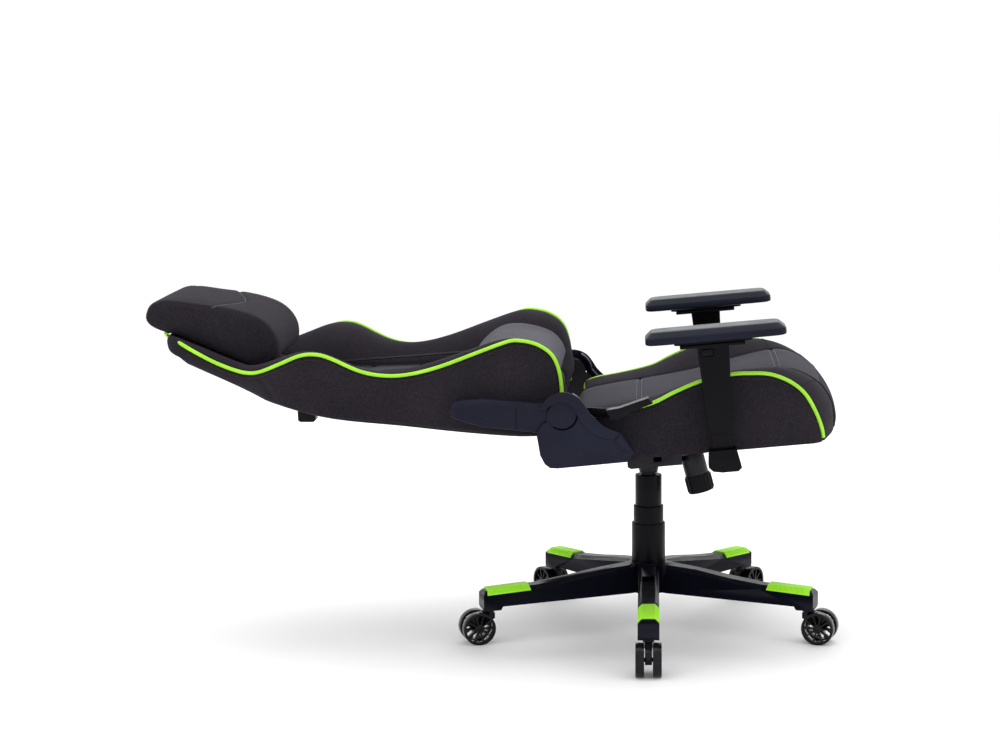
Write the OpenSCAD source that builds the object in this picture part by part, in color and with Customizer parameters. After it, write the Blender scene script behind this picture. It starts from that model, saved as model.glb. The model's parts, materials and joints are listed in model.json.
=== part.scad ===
// Reclining gaming chair, shown laid back flat on a five-arm castor base.
// Millimetres, +Z up. The chair faces +X, so +Y is the sitter's left.
// The origin is on the floor, on the axis of the gas lift.

/* [Base] */
// Radius of the circle on which the castors swivel
castor_circle_r = 325; // [300:5:345]
// Width of one arm of the star
star_arm_w = 40; // [38:1:50]
// Height of the top of the hub above the floor
hub_top_z = 138; // [130:1:145]
// Thickness of a green foot grip
grip_t = 3; // [2:0.5:5]

/* [Castors] */
// Radius of a wheel
wheel_r = 31.4; // [28:0.2:33]
// Thickness of one wheel
wheel_w = 16; // [12:1:18]
// Number of spokes in a wheel
wheel_spokes = 10; // [6:1:14]
// Distance from the swivel axis to the axle
castor_trail = 23; // [16:1:26]

/* [Gas lift] */
// Travel of the lift
lift_travel = 80; // [60:5:80]
// Outer radius of the fixed cylinder
cylinder_r = 23; // [21:0.5:23]
// Radius of the sliding pressure tube
tube_r = 14; // [12:0.5:14]
// Outer radius of the uppermost cover sleeve
sleeve_r = 26; // [26:0.5:27]

/* [Seat] */
// Rake of the seat and arms, front up
rake = 5; // [3:0.5:6]
// Height above the floor of the point about which the seat group is raked
rake_z = 330; // [325:1:335]
// Outer width of the seat and the backrest
body_w = 500; // [490:2:500]
// Width of the middle panel between the bolsters
panel_w = 290; // [280:2:300]
// Height of the bottom of the seat in the raked frame
seat_bottom = 57; // [55:1:58]

/* [Armrests] */
// Distance of the arm posts from the middle
arm_y = 272; // [272:1:280]
// Travel of the arms
arm_travel = 70; // [50:10:70]
// Width of an arm pad
pad_w = 92; // [80:2:100]
// Thickness of an arm pad
pad_t = 24; // [20:1:28]

/* [Backrest] */
// Depth of the hinge stack outside the seat, up to the inside of the side cover
hinge_depth = 42.5; // [41:0.5:44]
// Distance of the pillow straps from the middle
strap_y = 100; // [90:5:105]

/* [Hidden] */
$fn = 64;
eps = 0.01;

// Base and castors
star_angles = [for (i = [0:4]) -90 + 72 * i];
star_tip_r = castor_circle_r + 14;
arm_chamfer = 8;
boss_bottom_z = 65;
hub_bottom_z = 81;
hub_r = 34;
stem_r = 5.5;
collar_t = 0.8;
run = 0.06;                       // radial clearance of a running fit
axle_r = 4;
wheel_gap = 8;                    // from the fork's middle plane to a wheel
fork_w = 13;

// Gas lift
ledge_z = 74;
cylinder_top_z = 225;
tube_bottom_z = 102 + lift_travel;
tube_top_z = 338;
valve_top_z = 351.5;
valve_r = 4;
lift_rod_r = 5;
sleeve_t = 1.6;
sleeve_step = 3.4;                // growth in radius from one sleeve to the next
sleeve_z = [[138, 215], [182, 249], [233, 311]];

// Mechanism, in the raked frame
pin_x = 38;
pin_z = 32;
housing_w = 92;
knob_at = [86, 14];
knob_tilt = 10;
lever_z = 27;

// Seat, in the raked frame
half_w = body_w / 2;
half_p = panel_w / 2;
tray_z = 81;                      // underside of the foam inside the seat
rail_out = half_w - 6;
rail_w = 20;
rail_z = [58, 80];
plate_z = 52;

// Hinge: pivot in the raked frame, and the same point in the upright frame
pivot = [-144, 159];
pivot_w = [pivot[0] * cos(rake) - pivot[1] * sin(rake),
           rake_z + pivot[0] * sin(rake) + pivot[1] * cos(rake)];
stack = half_w + 2.5;             // innermost face of the hinge plates
pin_r = 6;

// Armrest heights, in the raked frame
sleeve_foot = 98;
post_top = sleeve_foot + arm_travel + 67;
sleeve_head = 260;
pad_seat = 266;
post_x = [124.5, 159.5];
post_half = 9.7;

// Backrest outlines as [x, z], from the hinge end to the head
back_rear = [[-172, 434], [-238, 430], [-349, 438], [-460, 450], [-589, 463],
             [-681, 486], [-772, 522], [-854, 557], [-887, 575]];
wing_front = [[-162, 450], [-160, 510], [-165, 550], [-178, 580], [-205, 599], [-236, 606],
              [-259, 604], [-310, 585], [-384, 556], [-440, 541], [-486, 538], [-532, 547],
              [-587, 573], [-614, 580], [-642, 577], [-679, 561], [-720, 543], [-745, 539],
              [-772, 544], [-808, 557], [-845, 577], [-881, 598], [-896, 602]];
panel_front = [[-170, 500], [-215, 518], [-270, 523], [-330, 519], [-400, 513], [-480, 509],
               [-600, 507], [-655, 511], [-690, 518], [-730, 529], [-772, 545], [-828, 568],
               [-875, 588], [-896, 596]];
back_plan = [[-155, 230], [-185, 250], [-300, 250], [-400, 236], [-480, 232], [-550, 240],
             [-620, 250], [-680, 242], [-735, 208], [-790, 192], [-850, 184], [-884, 160],
             [-900, 110], [-904, 0]];

// Seat outlines as [x, z] in the raked frame, from the back to the front
wing_top = [[-110, 138], [-92, 143], [-45, 148], [19, 158], [60, 174], [112, 191], [170, 199],
            [205, 198], [242, 193], [277, 176], [302, 152], [318, 120], [329, 84], [331, 57]];
seat_top = [[-112, 140], [-60, 147], [0, 152], [70, 158], [130, 166], [190, 178], [240, 186],
            [275, 188], [302, 180], [334, 158], [352, 130], [364, 95], [362, 72], [354, 57]];
seat_plan = [[-112, 236], [-90, 250], [270, 250], [312, 246], [334, 230], [350, 190],
             [360, 140], [366, 60], [367, 0]];

// Pillows as [x, z], in the upright frame
head_pillow_line = [[-948, 631], [-947, 645], [-939, 659], [-921, 668], [-895, 669], [-850, 663],
                    [-800, 656], [-765, 648], [-736, 637], [-716, 622], [-703, 603], [-698, 583],
                    [-700, 563], [-712, 551], [-730, 545], [-749, 543], [-770, 551], [-797, 563],
                    [-830, 578], [-862, 592], [-885, 601], [-916, 609], [-938, 619]];
lumbar_line = [[-338, 548], [-328, 563], [-314, 576], [-299, 586], [-283, 592], [-264, 594],
               [-240, 592], [-214, 586], [-191, 576], [-176, 561], [-168, 545], [-172, 533],
               [-240, 531], [-300, 532], [-326, 537]];
strap_a = [-335, 541];            // strap line from the lumbar pillow to the head end
strap_b = [-595, 521];
strap_slope = (strap_a[1] - strap_b[1]) / (strap_a[0] - strap_b[0]);

// ---- Curves and placing ----

// Point on a Catmull-Rom curve between b and c
function cr(a, b, c, d, t) =
    0.5 * (2 * b + (c - a) * t + (2 * a - 5 * b + 4 * c - d) * t * t
           + (3 * b - a - 3 * c + d) * t * t * t);

// Smooth open line through the points p, with n steps from one to the next
function smooth(p, n = 2) = concat(
    [for (i = [0:len(p) - 2], k = [0:n - 1])
        cr(p[max(i - 1, 0)], p[i], p[i + 1], p[min(i + 2, len(p) - 1)], k / n)],
    [p[len(p) - 1]]);

// Smooth closed line through the points p
function smooth_loop(p, n = 2) = [for (i = [0:len(p) - 1], k = [0:n - 1])
    cr(p[(i + len(p) - 1) % len(p)], p[i], p[(i + 1) % len(p)], p[(i + 2) % len(p)], k / n)];

function raised(p, dz) = [for (q = p) [q[0], q[1] + dz]];
function backwards(p) = [for (i = [len(p) - 1:-1:0]) p[i]];
function strip(p, z0, z1) = concat(raised(p, z0), backwards(raised(p, z1)));
function between(p, x0, x1) = [for (q = p) if (q[0] >= x0 && q[0] <= x1) q];

// An outline in X and Z, made thick from y0 to y1
module slab(y0, y1) translate([0, y1, 0]) rotate([90, 0, 0]) linear_extrude(y1 - y0) children();

// The same on both sides of the chair
module both() {
    children();
    mirror([0, 1, 0]) children();
}

module raked() translate([0, 0, rake_z]) rotate([0, -rake, 0]) children();

// Disc about a pivot in X and Z
module disc(p, r, y0, y1) translate([p[0], y1, p[1]]) rotate([90, 0, 0]) cylinder(r = r, h = y1 - y0);

module tube(r, t, z0, z1) translate([0, 0, z0]) difference() {
    cylinder(r = r, h = z1 - z0);
    translate([0, 0, -1]) cylinder(r = r - t, h = z1 - z0 + 2);
}

// Box between two corners
module box(a, b) translate(a) cube(b - a);

module at_castor(i) rotate([0, 0, star_angles[i]]) translate([castor_circle_r, 0, 0]) children();

// Full-height prism of a half plan outline, mirrored in Y
module plan_prism(half) translate([0, 0, -100]) linear_extrude(900)
    polygon(concat(half, backwards([for (q = half) [q[0], -q[1]]])));

// ---- Base ----

module star_arm_outline(end = star_tip_r) polygon([
    [14, hub_bottom_z], [44, 79], [200, 75], [castor_circle_r - 24, 72],
    [castor_circle_r - 20, boss_bottom_z], [end - 2, boss_bottom_z], [end, 70],
    [end, 96], [end - 5, 103], [233, 109], [171, 117], [100, 129],
    [hub_r - 5, hub_top_z - 1.5], [14, hub_top_z - 1.5]]);

// Cuts the long upper edges of an arm
module arm_edges(lift = 0) for (s = [-1, 1]) translate([233, s * star_arm_w / 2, 109 + lift]) {
    rotate([0, 3.2, 0]) translate([60, 0, 0]) rotate([45, 0, 0])
        cube([132, arm_chamfer * sqrt(2), arm_chamfer * sqrt(2)], center = true);
    rotate([0, 8.6, 0]) translate([-95, 0, 0]) rotate([45, 0, 0])
        cube([192, arm_chamfer * sqrt(2), arm_chamfer * sqrt(2)], center = true);
}

module star_arm() difference() {
    slab(-star_arm_w / 2, star_arm_w / 2) star_arm_outline();
    arm_edges();
}

module star_base() color([0.05, 0.05, 0.055]) difference() {
    union() {
        translate([0, 0, hub_bottom_z - 3]) cylinder(r = hub_r, h = hub_top_z - hub_bottom_z + 3);
        for (a = star_angles) rotate([0, 0, a]) star_arm();
    }
    // Arms are channels, open below between the hub and the castor boss
    for (a = star_angles) rotate([0, 0, a]) slab(-star_arm_w / 2 + 5, star_arm_w / 2 - 5)
        polygon([[hub_r + 8, 60], [castor_circle_r - 26, 60], [castor_circle_r - 26, 95],
                 [233, 102], [100, 121], [hub_r + 8, 129]]);
    translate([0, 0, ledge_z + 10]) cylinder(r = cylinder_r + 0.1, h = 100);
    translate([0, 0, 60]) cylinder(r = cylinder_r - 3, h = 40);
    for (i = [0:4]) at_castor(i) translate([0, 0, 60]) cylinder(r = stem_r + 0.1, h = 28);
}

module foot_grips() color([0.6, 0.86, 0.13]) for (a = star_angles) rotate([0, 0, a]) difference() {
    slab(-star_arm_w / 2, star_arm_w / 2) polygon([
        [244, 96], [248, 108.2 + grip_t], [castor_circle_r + 5, 103.6 + grip_t],
        [castor_circle_r + 7, 92]]);
    arm_edges(grip_t);
    star_arm();
}

module caster_stems() color([0.6, 0.6, 0.62]) for (i = [0:4]) at_castor(i) {
    translate([0, 0, 49]) cylinder(r = stem_r, h = 38);
    translate([0, 0, boss_bottom_z - collar_t]) cylinder(r = stem_r + 3.5, h = collar_t);
}

// ---- Castors ----

module caster_fork(i) color([0.04, 0.04, 0.045]) at_castor(i) difference() {
    union() {
        translate([0, 0, 47]) cylinder(r = wheel_gap - 0.3, h = 14);
        translate([0, 0, 60]) cylinder(r = 11, h = boss_bottom_z - collar_t - 0.3 - 60);
        slab(-fork_w / 2, fork_w / 2) polygon([
            [-11, 58], [8, 62], [22, 61], [40, 50], [44, 38], [36, 30], [31, 24],
            [castor_trail, 21], [15, 24], [11, 33], [2, 42], [-11, 47]]);
        disc([castor_trail, wheel_r], axle_r, -wheel_gap - wheel_w + 1, wheel_gap + wheel_w - 1);
    }
    translate([0, 0, 48.5]) cylinder(r = stem_r + run, h = 40);
}

module wheel() difference() {
    union() {
        difference() {
            cylinder(r = wheel_r, h = wheel_w);
            translate([0, 0, -1]) cylinder(r = wheel_r - 5, h = wheel_w + 2);
        }
        cylinder(r = 9, h = wheel_w);
        for (k = [0:wheel_spokes - 1]) rotate([0, 0, k * 360 / wheel_spokes])
            translate([7, -1.3, 2]) cube([wheel_r - 9.5, 2.6, wheel_w - 4]);
    }
    translate([0, 0, -1]) cylinder(r = axle_r + run, h = wheel_w + 2);
}

module caster_wheels(i) color([0.03, 0.03, 0.035]) at_castor(i)
    for (y0 = [-wheel_gap - wheel_w, wheel_gap])
        translate([castor_trail, y0 + wheel_w, wheel_r]) rotate([90, 0, 0]) wheel();

module caster_fork_1() caster_fork(0);
module caster_fork_2() caster_fork(1);
module caster_fork_3() caster_fork(2);
module caster_fork_4() caster_fork(3);
module caster_fork_5() caster_fork(4);
module caster_wheels_1() caster_wheels(0);
module caster_wheels_2() caster_wheels(1);
module caster_wheels_3() caster_wheels(2);
module caster_wheels_4() caster_wheels(3);
module caster_wheels_5() caster_wheels(4);

// ---- Gas lift ----

module lift_cylinder() color([0.12, 0.12, 0.13]) difference() {
    union() {
        translate([0, 0, ledge_z + 10]) cylinder(r = cylinder_r, h = cylinder_top_z - ledge_z - 10);
        translate([0, 0, 68]) cylinder(r = cylinder_r - 3.1, h = 30);
    }
    translate([0, 0, 92]) cylinder(r = tube_r + 0.08, h = 200);
    translate([0, 0, 60]) cylinder(r = lift_rod_r + 0.08, h = 60);
}

module cover_lower() color([0.07, 0.07, 0.075])
    tube(sleeve_r + 2 * sleeve_step, sleeve_t, sleeve_z[0][0], sleeve_z[0][1]);

module lift_rod() color([0.75, 0.75, 0.77]) {
    translate([0, 0, 67]) cylinder(r = lift_rod_r, h = 140);
    translate([0, 0, 207]) cylinder(r = 9, h = 8);
}

// Bearing ring above the cylinder's floor and the clip that holds the rod below it
module rod_bearing() color([0.7, 0.7, 0.72]) {
    tube(12, 12 - lift_rod_r, 92.2, 97);
    tube(9, 9 - lift_rod_r, 66.4, 67.8);
}

module cover_middle() color([0.07, 0.07, 0.075])
    tube(sleeve_r + sleeve_step, sleeve_t, sleeve_z[1][0], sleeve_z[1][1]);

module lift_piston() color([0.1, 0.1, 0.11]) {
    difference() {
        translate([0, 0, tube_bottom_z]) cylinder(r = tube_r, h = tube_top_z - tube_bottom_z);
        translate([0, 0, tube_bottom_z + 4]) cylinder(r = 9.1, h = tube_top_z - tube_bottom_z - 14);
        translate([0, 0, tube_bottom_z - 1]) cylinder(r = lift_rod_r + 0.08, h = 20);
        translate([0, 0, tube_top_z - 20]) cylinder(r = valve_r + run, h = 40);
    }
}

module valve_pin() color([0.7, 0.7, 0.72])
    translate([0, 0, tube_top_z - 12]) cylinder(r = valve_r, h = valve_top_z - tube_top_z + 12);

module cover_upper() color([0.07, 0.07, 0.075]) {
    tube(sleeve_r, sleeve_t, sleeve_z[2][0], sleeve_z[2][1]);
    tube(sleeve_r - 1, sleeve_r - 1 - tube_r - 0.1, sleeve_z[2][1] - 2, sleeve_z[2][1]);
}

// ---- Tilt mechanism ----

module at_knob() translate([knob_at[0], 0, knob_at[1]]) rotate([0, -knob_tilt, 0]) children();

module tilt_housing() color([0.09, 0.09, 0.1]) difference() {
    union() {
        raked() difference() {
            slab(-housing_w / 2, housing_w / 2)
                polygon([[-40, 6], [-34, 2], [66, 2], [66, 44], [20, 38], [-40, 18]]);
            slab(-housing_w / 2 + 3, housing_w / 2 - 3)
                polygon([[-37, 5.5], [63, 5.5], [63, 60], [-37, 60]]);
            // Side window in the right wall
            box([11, -housing_w / 2 - 1, 12], [27, -housing_w / 2 + 4, 60]);
        }
        raked() at_knob() translate([0, 0, -42]) cylinder(r = 23, h = 44);
        raked() for (x = [-14, 10]) box([x, 46, 14], [x + 4, 58, 32]);
        translate([0, 0, 316]) cylinder(r1 = 18, r2 = 22, h = 20);
    }
    raked() at_knob() translate([0, 0, -43]) cylinder(r = 20, h = 43);
    translate([0, 0, 300]) cylinder(r = tube_r, h = 60);
    raked() disc([pin_x, pin_z], 5, -60, 60);
    raked() translate([-20, 52, lever_z]) rotate([0, 90, 0]) cylinder(r = 4 + run, h = 40);
    raked() box([-6, 40, lever_z - 5], [6, 50, 60]);
}

module tilt_spring() color([0.6, 0.6, 0.62]) raked() at_knob()
    for (k = [0:6]) translate([0, 0, -35 + 5 * k]) rotate_extrude() translate([14, 0]) circle(r = 2, $fn = 24);

module tilt_pin() color([0.7, 0.7, 0.72]) raked() disc([pin_x, pin_z], 5, -53, 53);

module tension_knob() color([0.06, 0.06, 0.065]) raked() at_knob() {
    translate([0, 0, -76]) cylinder(r = 25, h = 33.5);
    for (k = [0:17]) rotate([0, 0, k * 20]) translate([25, 0, -73]) cylinder(r = 1.6, h = 28, $fn = 16);
    translate([0, 0, -42.5]) cylinder(r = 4, h = 40);
}

module height_lever() color([0.06, 0.06, 0.065]) raked() {
    translate([-13.5, 52, lever_z]) rotate([0, 90, 0]) cylinder(r = 4, h = 27);
    translate([0, -3, lever_z]) rotate([-90, 0, 0]) cylinder(r = 4, h = 83);
    translate([0, 80, lever_z]) sphere(r = 4);
    box([-5, 76, lever_z - 12], [5, 84, lever_z]);
    box([-13, 80, lever_z - 17], [13, 212, lever_z - 6]);
}

// ---- Seat ----

module seat_plate() color([0.08, 0.08, 0.085]) raked() difference() {
    union() {
        box([-36, -85, plate_z], [108, 85, plate_z + 4]);
        both() slab(-52, -48) polygon([[12, plate_z + 2], [24, 24], [52, 24], [64, plate_z + 2]]);
    }
    disc([pin_x, pin_z], 5 + run, -60, 60);
    for (x = [-24, 96], y = [-70, 70]) translate([x, y, 40]) cylinder(r = 4.2, h = 30);
}

module seat_frame() color([0.1, 0.1, 0.11]) raked() difference() {
    union() {
        both() box([-104, rail_out - rail_w, rail_z[0]], [304, rail_out, rail_z[1]]);
        for (x = [-104, -34, 86, 284])
            box([x, -rail_out + 2, rail_z[0]], [x + rail_w, rail_out - 2, rail_z[1]]);
        for (x = [-34, 86]) box([x, -84, plate_z + 4], [x + rail_w, 84, rail_z[0] + 1]);
    }
    both() box([-102, rail_out - rail_w + 2, rail_z[0] + 2], [302, rail_out - 2, rail_z[1] - 2]);
    for (x = [-104, -34, 86, 284])
        box([x + 2, -rail_out + 12, rail_z[0] + 2], [x + rail_w - 2, rail_out - 12, rail_z[1] - 2]);
    for (x = [-24, 96], y = [-70, 70]) translate([x, y, 40]) cylinder(r = 4.2, h = 30);
}

module seat_webbing() color([0.15, 0.15, 0.16]) raked() for (x = [-70 : 50 : 230])
    box([x, -rail_out + 2, rail_z[1]], [x + 34, rail_out - 2, rail_z[1] + 0.8]);

module mounting_bolts() color([0.6, 0.6, 0.62]) raked() {
    for (x = [-24, 96], y = [-70, 70]) {
        translate([x, y, plate_z - 5]) cylinder(r = 7, h = 5);
        translate([x, y, plate_z]) cylinder(r = 4, h = 16);
    }
    both() for (x = [-92, -70]) disc([x, 70], 6, -stack - 7, -stack - 3);
}

module seat_solid(top) polygon(concat(smooth(top), [[-110, seat_bottom]]));

module seat_cushion() color([0.15, 0.14, 0.15]) raked() difference() {
    intersection() {
        slab(-half_p, half_p) seat_solid(seat_top);
        plan_prism(seat_plan);
    }
    box([-200, -300, 0], [316, 300, tray_z]);
}

module seat_bolster() color([0.11, 0.1, 0.11]) raked() difference() {
    intersection() {
        slab(-half_w, -half_p) seat_solid(wing_top);
        plan_prism(seat_plan);
    }
    box([-200, -half_w + 3.5, 0], [312, 0, tray_z]);
    box([-200, -300, 0], [-46, 0, tray_z + 4]);
    // The arm bracket passes under this side
    box([117.5, -300, 0], [166.5, 0, rail_z[0] + 0.1]);
}

module seat_bolster_right() seat_bolster();
module seat_bolster_left() mirror([0, 1, 0]) seat_bolster();

// ---- Recliner ----

module hinge_plates() color([0.2, 0.2, 0.21]) raked() both() {
    slab(-stack - 3, -stack) union() {
        translate(pivot) circle(r = 28);
        polygon([[-172, 158], [-168, 64], [-52, 64], [-52, 92], [-116, 158]]);
    }
    box([-100, -stack - eps, 62], [-56, -rail_out, 78]);
}

module pivot_pins() color([0.7, 0.7, 0.72]) raked() both() {
    disc(pivot, pin_r, -stack - 23.5, -stack - 3);
    disc(pivot, pin_r + 3, -stack - 26, -stack - 20.5);
}

module side_cover_line(t = 0) {
    translate(pivot) circle(r = 41 - t);
    polygon([[-194 + t, 127], [-191 + t, 88], [-184 + t, 71 + t / 2], [-175 + t / 2, 63 + t],
             [-161, 61 + t], [-34 - t / 2, 62 + t], [-20 - t, 78], [-40 - t, 114 - t / 2],
             [-64 - t / 2, 121 - t], [-84 - t, 134 - t / 2], [-103 - t, 160], [-144, 165],
             [-180 + t, 146]]);
}

// Outline of the back's side cover in the upright frame
module bracket_line(t = 0) {
    translate(pivot_w) circle(r = 28 - t);
    polygon([[-362 + t, 494], [-355 + t, 499 - t], [-307, 503 - t], [-240, 498 - t],
             [-198, 492 - t], [-158, 503 - t], [-135, 470], [-150, 446 + t], [-198, 443 + t],
             [-207, 442 + t], [-311, 451 + t], [-359 + t, 466 + t / 2]]);
}

module side_cover() color([0.1, 0.1, 0.13]) {
    raked() difference() {
        slab(-half_w - hinge_depth - 4, -half_w - hinge_depth) side_cover_line();
        disc(pivot, 29, -400, 0);
        slab(-400, 0) polygon([[-220, 130], pivot, [-170, 176], [-220, 184]]);
    }
    raked() difference() {
        slab(-half_w - hinge_depth - eps, -half_w - 16.5) side_cover_line();
        slab(-400, 0) side_cover_line(3);
        // The arm of the backrest sweeps through this side
        slab(-400, 0) polygon([pivot, pivot + [-90, -66], pivot + [-90, 90], pivot + [56, 90]]);
    }
    raked() for (p = [[-120, 84], [-58, 82]])
        disc(p, 5, -half_w - hinge_depth - eps, -stack - 3);
}

module side_cover_right() side_cover();
module side_cover_left() mirror([0, 1, 0]) side_cover();

module recline_lever() color([0.08, 0.08, 0.09]) raked() difference() {
    union() {
        slab(-stack - 11, -stack - 8.5) union() {
            translate(pivot) circle(r = 17);
            polygon([[-144, 170], [-56, 158], [-50, 142], [-144, 148]]);
        }
        slab(-stack - 30, -stack - 4) polygon([
            [-64, 158], [-57, 139], [-43, 139], [-17, 152], [22, 163], [15, 174], [-40, 160]]);
    }
    disc(pivot, pin_r + run, -400, 0);
}

// Flat spiral spring about the pivot
function spiral(r0, r1, turns, n) =
    [for (k = [0:n]) let (f = k / n, r = r0 + (r1 - r0) * f) r * [cos(360 * turns * f), sin(360 * turns * f)]];

module recline_springs() color([0.5, 0.5, 0.52]) raked() both()
    slab(-stack - 18, -stack - 13) translate(pivot)
        polygon(concat(spiral(9, 20, 2.5, 40), backwards(spiral(10.5, 21.5, 2.5, 40))));

// ---- Backrest ----

rear_line = smooth(back_rear);
back_tubes = [[-216, 431.5], [-405, 444], [-560, 459], [-667, 482]];

// Side outline of the backrest, from its rear face to the line in front
module back_solid(front) polygon(concat(smooth(front), backwards(rear_line)));

module recline_arms() color([0.2, 0.2, 0.21]) both() {
    difference() {
        slab(-stack - 8, -stack - 4) union() {
            translate(pivot_w) circle(r = 25);
            polygon([[-157, 498], [-330, 492], [-335, 462], [-200, 450], [-157, 452]]);
        }
        disc(pivot_w, pin_r + run, -400, 0);
    }
    box([-330, -stack - 4 - eps, 460], [-252, -205, 488]);
}

module bracket_cover() color([0.1, 0.1, 0.13]) difference() {
    union() {
        slab(-half_w - hinge_depth + 2.5, -stack - 12) bracket_line();
        disc(pivot_w, 27.5, -half_w - hinge_depth - 2, -stack - 12);
        slab(-stack - 12.5, -half_w - 0.5)
            polygon([[-359, 494], [-340, 497], [-340, 456], [-357, 466]]);
    }
    slab(-half_w - hinge_depth + 5.5, 0) difference() {
        bracket_line(3);
        translate([-420, 400]) square([80, 200]);
    }
    disc(pivot_w, 24.5, -half_w - hinge_depth + 5.5, 0);
}

module bracket_cover_right() bracket_cover();
module bracket_cover_left() mirror([0, 1, 0]) bracket_cover();

module back_frame() color([0.12, 0.12, 0.13]) difference() {
    union() {
        both() slab(-205, -185) polygon(strip(between(rear_line, -700, -200), -8.5, 9.5));
        both() slab(-205, -185) polygon([[-240, 428], [-240, 494], [-342, 494], [-342, 434]]);
        for (p = back_tubes) translate([p[0], 190, p[1]]) rotate([90, 0, 0]) cylinder(r = 8, h = 380);
    }
    both() slab(-203, -187) polygon(strip(between(rear_line, -690, -210), -6.5, 7.5));
    for (p = back_tubes)
        translate([p[0], 184, p[1]]) rotate([90, 0, 0]) cylinder(r = 6.5, h = 368);
}

module back_shell() color([0.11, 0.1, 0.11]) intersection() {
    slab(-206.5, 206.5) polygon(strip(between(rear_line, -882, -176), -14, -9));
    plan_prism([for (q = back_plan) [q[0] + 4, max(q[1] - 14, 0)]]);
}

module back_cushion() color([0.15, 0.14, 0.15]) difference() {
    intersection() {
        slab(-half_p, half_p) back_solid(panel_front);
        plan_prism(back_plan);
    }
    slab(-400, 400) polygon(strip(concat([[-150, 434]], rear_line, [[-920, 600]]), -40, 10.5));
}

module back_bolster() color([0.11, 0.1, 0.11]) difference() {
    intersection() {
        slab(-half_w, -half_p) back_solid(wing_front);
        plan_prism(back_plan);
    }
    slab(-207, 0) polygon(strip(concat([[-150, 434]], between(rear_line, -715, -172)), -40, 10.5));
    box([-346, -207, 400], [-236, 0, 498]);
    box([-332, -400, 458], [-250, -200, 490]);
}

module back_bolster_right() back_bolster();
module back_bolster_left() mirror([0, 1, 0]) back_bolster();

module head_pillow() color([0.14, 0.13, 0.14])
    slab(-half_p + 3, half_p - 3) polygon(smooth_loop(head_pillow_line, 1));

module lumbar_pillow() color([0.4, 0.4, 0.42]) difference() {
    slab(-half_p + 3, half_p - 3) polygon(smooth_loop(lumbar_line, 1));
    // Grooves under the pillow, along which it slides on its straps
    for (s = [-1, 1]) slab(s * strap_y - 14, s * strap_y + 14) polygon([
        [-400, strap_a[1] + 2.6 + strap_slope * (-400 - strap_a[0])],
        [-140, strap_a[1] + 2.6 + strap_slope * (-140 - strap_a[0])], [-140, 500], [-400, 500]]);
}

module pillow_straps() color([0.05, 0.05, 0.05]) for (s = [-1, 1]) {
    slab(s * strap_y - 12, s * strap_y + 12) polygon(strip([
        strap_b + [-57, -57 * strap_slope], strap_b, strap_a,
        strap_a + [110, 110 * strap_slope], [-180, 515]], 0, 1.6));
    slab(s * strap_y - 12, s * strap_y + 12)
        polygon(strip(between(rear_line, -715, -630), -15.8, -14));
}

module strap_buckles() color([0.03, 0.03, 0.03]) for (s = [-1, 1]) difference() {
    slab(s * strap_y - 16, s * strap_y + 16)
        polygon([[-668, 466], [-667, 436], [-663, 433], [-638, 433], [-634, 436], [-633, 458]]);
    slab(s * strap_y - 13, s * strap_y + 13) polygon([[-660, 500], [-660, 446], [-641, 446], [-641, 500]]);
    slab(s * strap_y - 20, s * strap_y + 20)
        polygon(strip(between(rear_line, -720, -600), -15.8, 60));
}

// ---- Armrests ----

module arm_brackets() color([0.15, 0.15, 0.16]) raked() both()
    box([118, -arm_y - 13, rail_z[0] - 5], [166, -rail_out + rail_w, rail_z[0]]);

module arm_boots() color([0.08, 0.08, 0.09]) raked() both() difference() {
    slab(-arm_y - 19, -half_w - 3) polygon([
        [117, 67], [114, 37], [122, 29], [138, 26], [168, 26], [175, 32], [168, 67]]);
    box([117.8, -arm_y - 13.2, rail_z[0] - 5], [166.2, 0, rail_z[0] + 0.2]);
    box([post_x[0] - 0.2, -arm_y - post_half - 0.2, rail_z[0]],
        [post_x[1] + 0.2, -arm_y + post_half + 0.2, 80]);
}

module arm_posts() color([0.06, 0.06, 0.065]) raked() both() difference() {
    box([post_x[0], -arm_y - post_half, rail_z[0]], [post_x[1], -arm_y + post_half, post_top]);
    box([post_x[0] + 3, -arm_y - post_half + 3, rail_z[0] + 3],
        [post_x[1] - 3, -arm_y + post_half - 3, post_top + 5]);
}

module arm_sleeve() color([0.08, 0.08, 0.1]) raked() difference() {
    union() {
        slab(-arm_y - 15, -arm_y + 15)
            polygon([[120.5, sleeve_foot], [163.5, sleeve_foot], [170, sleeve_head], [111, sleeve_head]]);
        box([80, -arm_y - 26, sleeve_head - eps], [200, -arm_y + 26, pad_seat]);
    }
    box([post_x[0] - 0.3, -arm_y - post_half - 0.3, 0],
        [post_x[1] + 0.3, -arm_y + post_half + 0.3, post_top + 3]);
    box([117.6, -arm_y - 20, 242.6], [140.4, -arm_y - 6, 255.4]);
}

module arm_button() color([0.05, 0.05, 0.05]) raked()
    box([118, -arm_y - 16.5, 243], [140, -arm_y - 9.5, 255]);

module arm_pad() color([0.09, 0.09, 0.11]) raked() {
    slab(-arm_y - pad_w / 2, -arm_y + pad_w / 2) polygon([
        [27, pad_seat + 6], [18, pad_seat + 12], [24, pad_seat + 26], [34, pad_seat + 6 + pad_t],
        [259, pad_seat + 6 + pad_t], [272, pad_seat + 25], [276, pad_seat + 14], [266, pad_seat + 6]]);
    box([70, -arm_y - 23, pad_seat + 0.2], [214, -arm_y + 23, pad_seat + 6 + eps]);
}

module arm_sleeve_right() arm_sleeve();
module arm_sleeve_left() mirror([0, 1, 0]) arm_sleeve();
module arm_button_right() arm_button();
module arm_button_left() mirror([0, 1, 0]) arm_button();
module arm_pad_right() arm_pad();
module arm_pad_left() mirror([0, 1, 0]) arm_pad();

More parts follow.
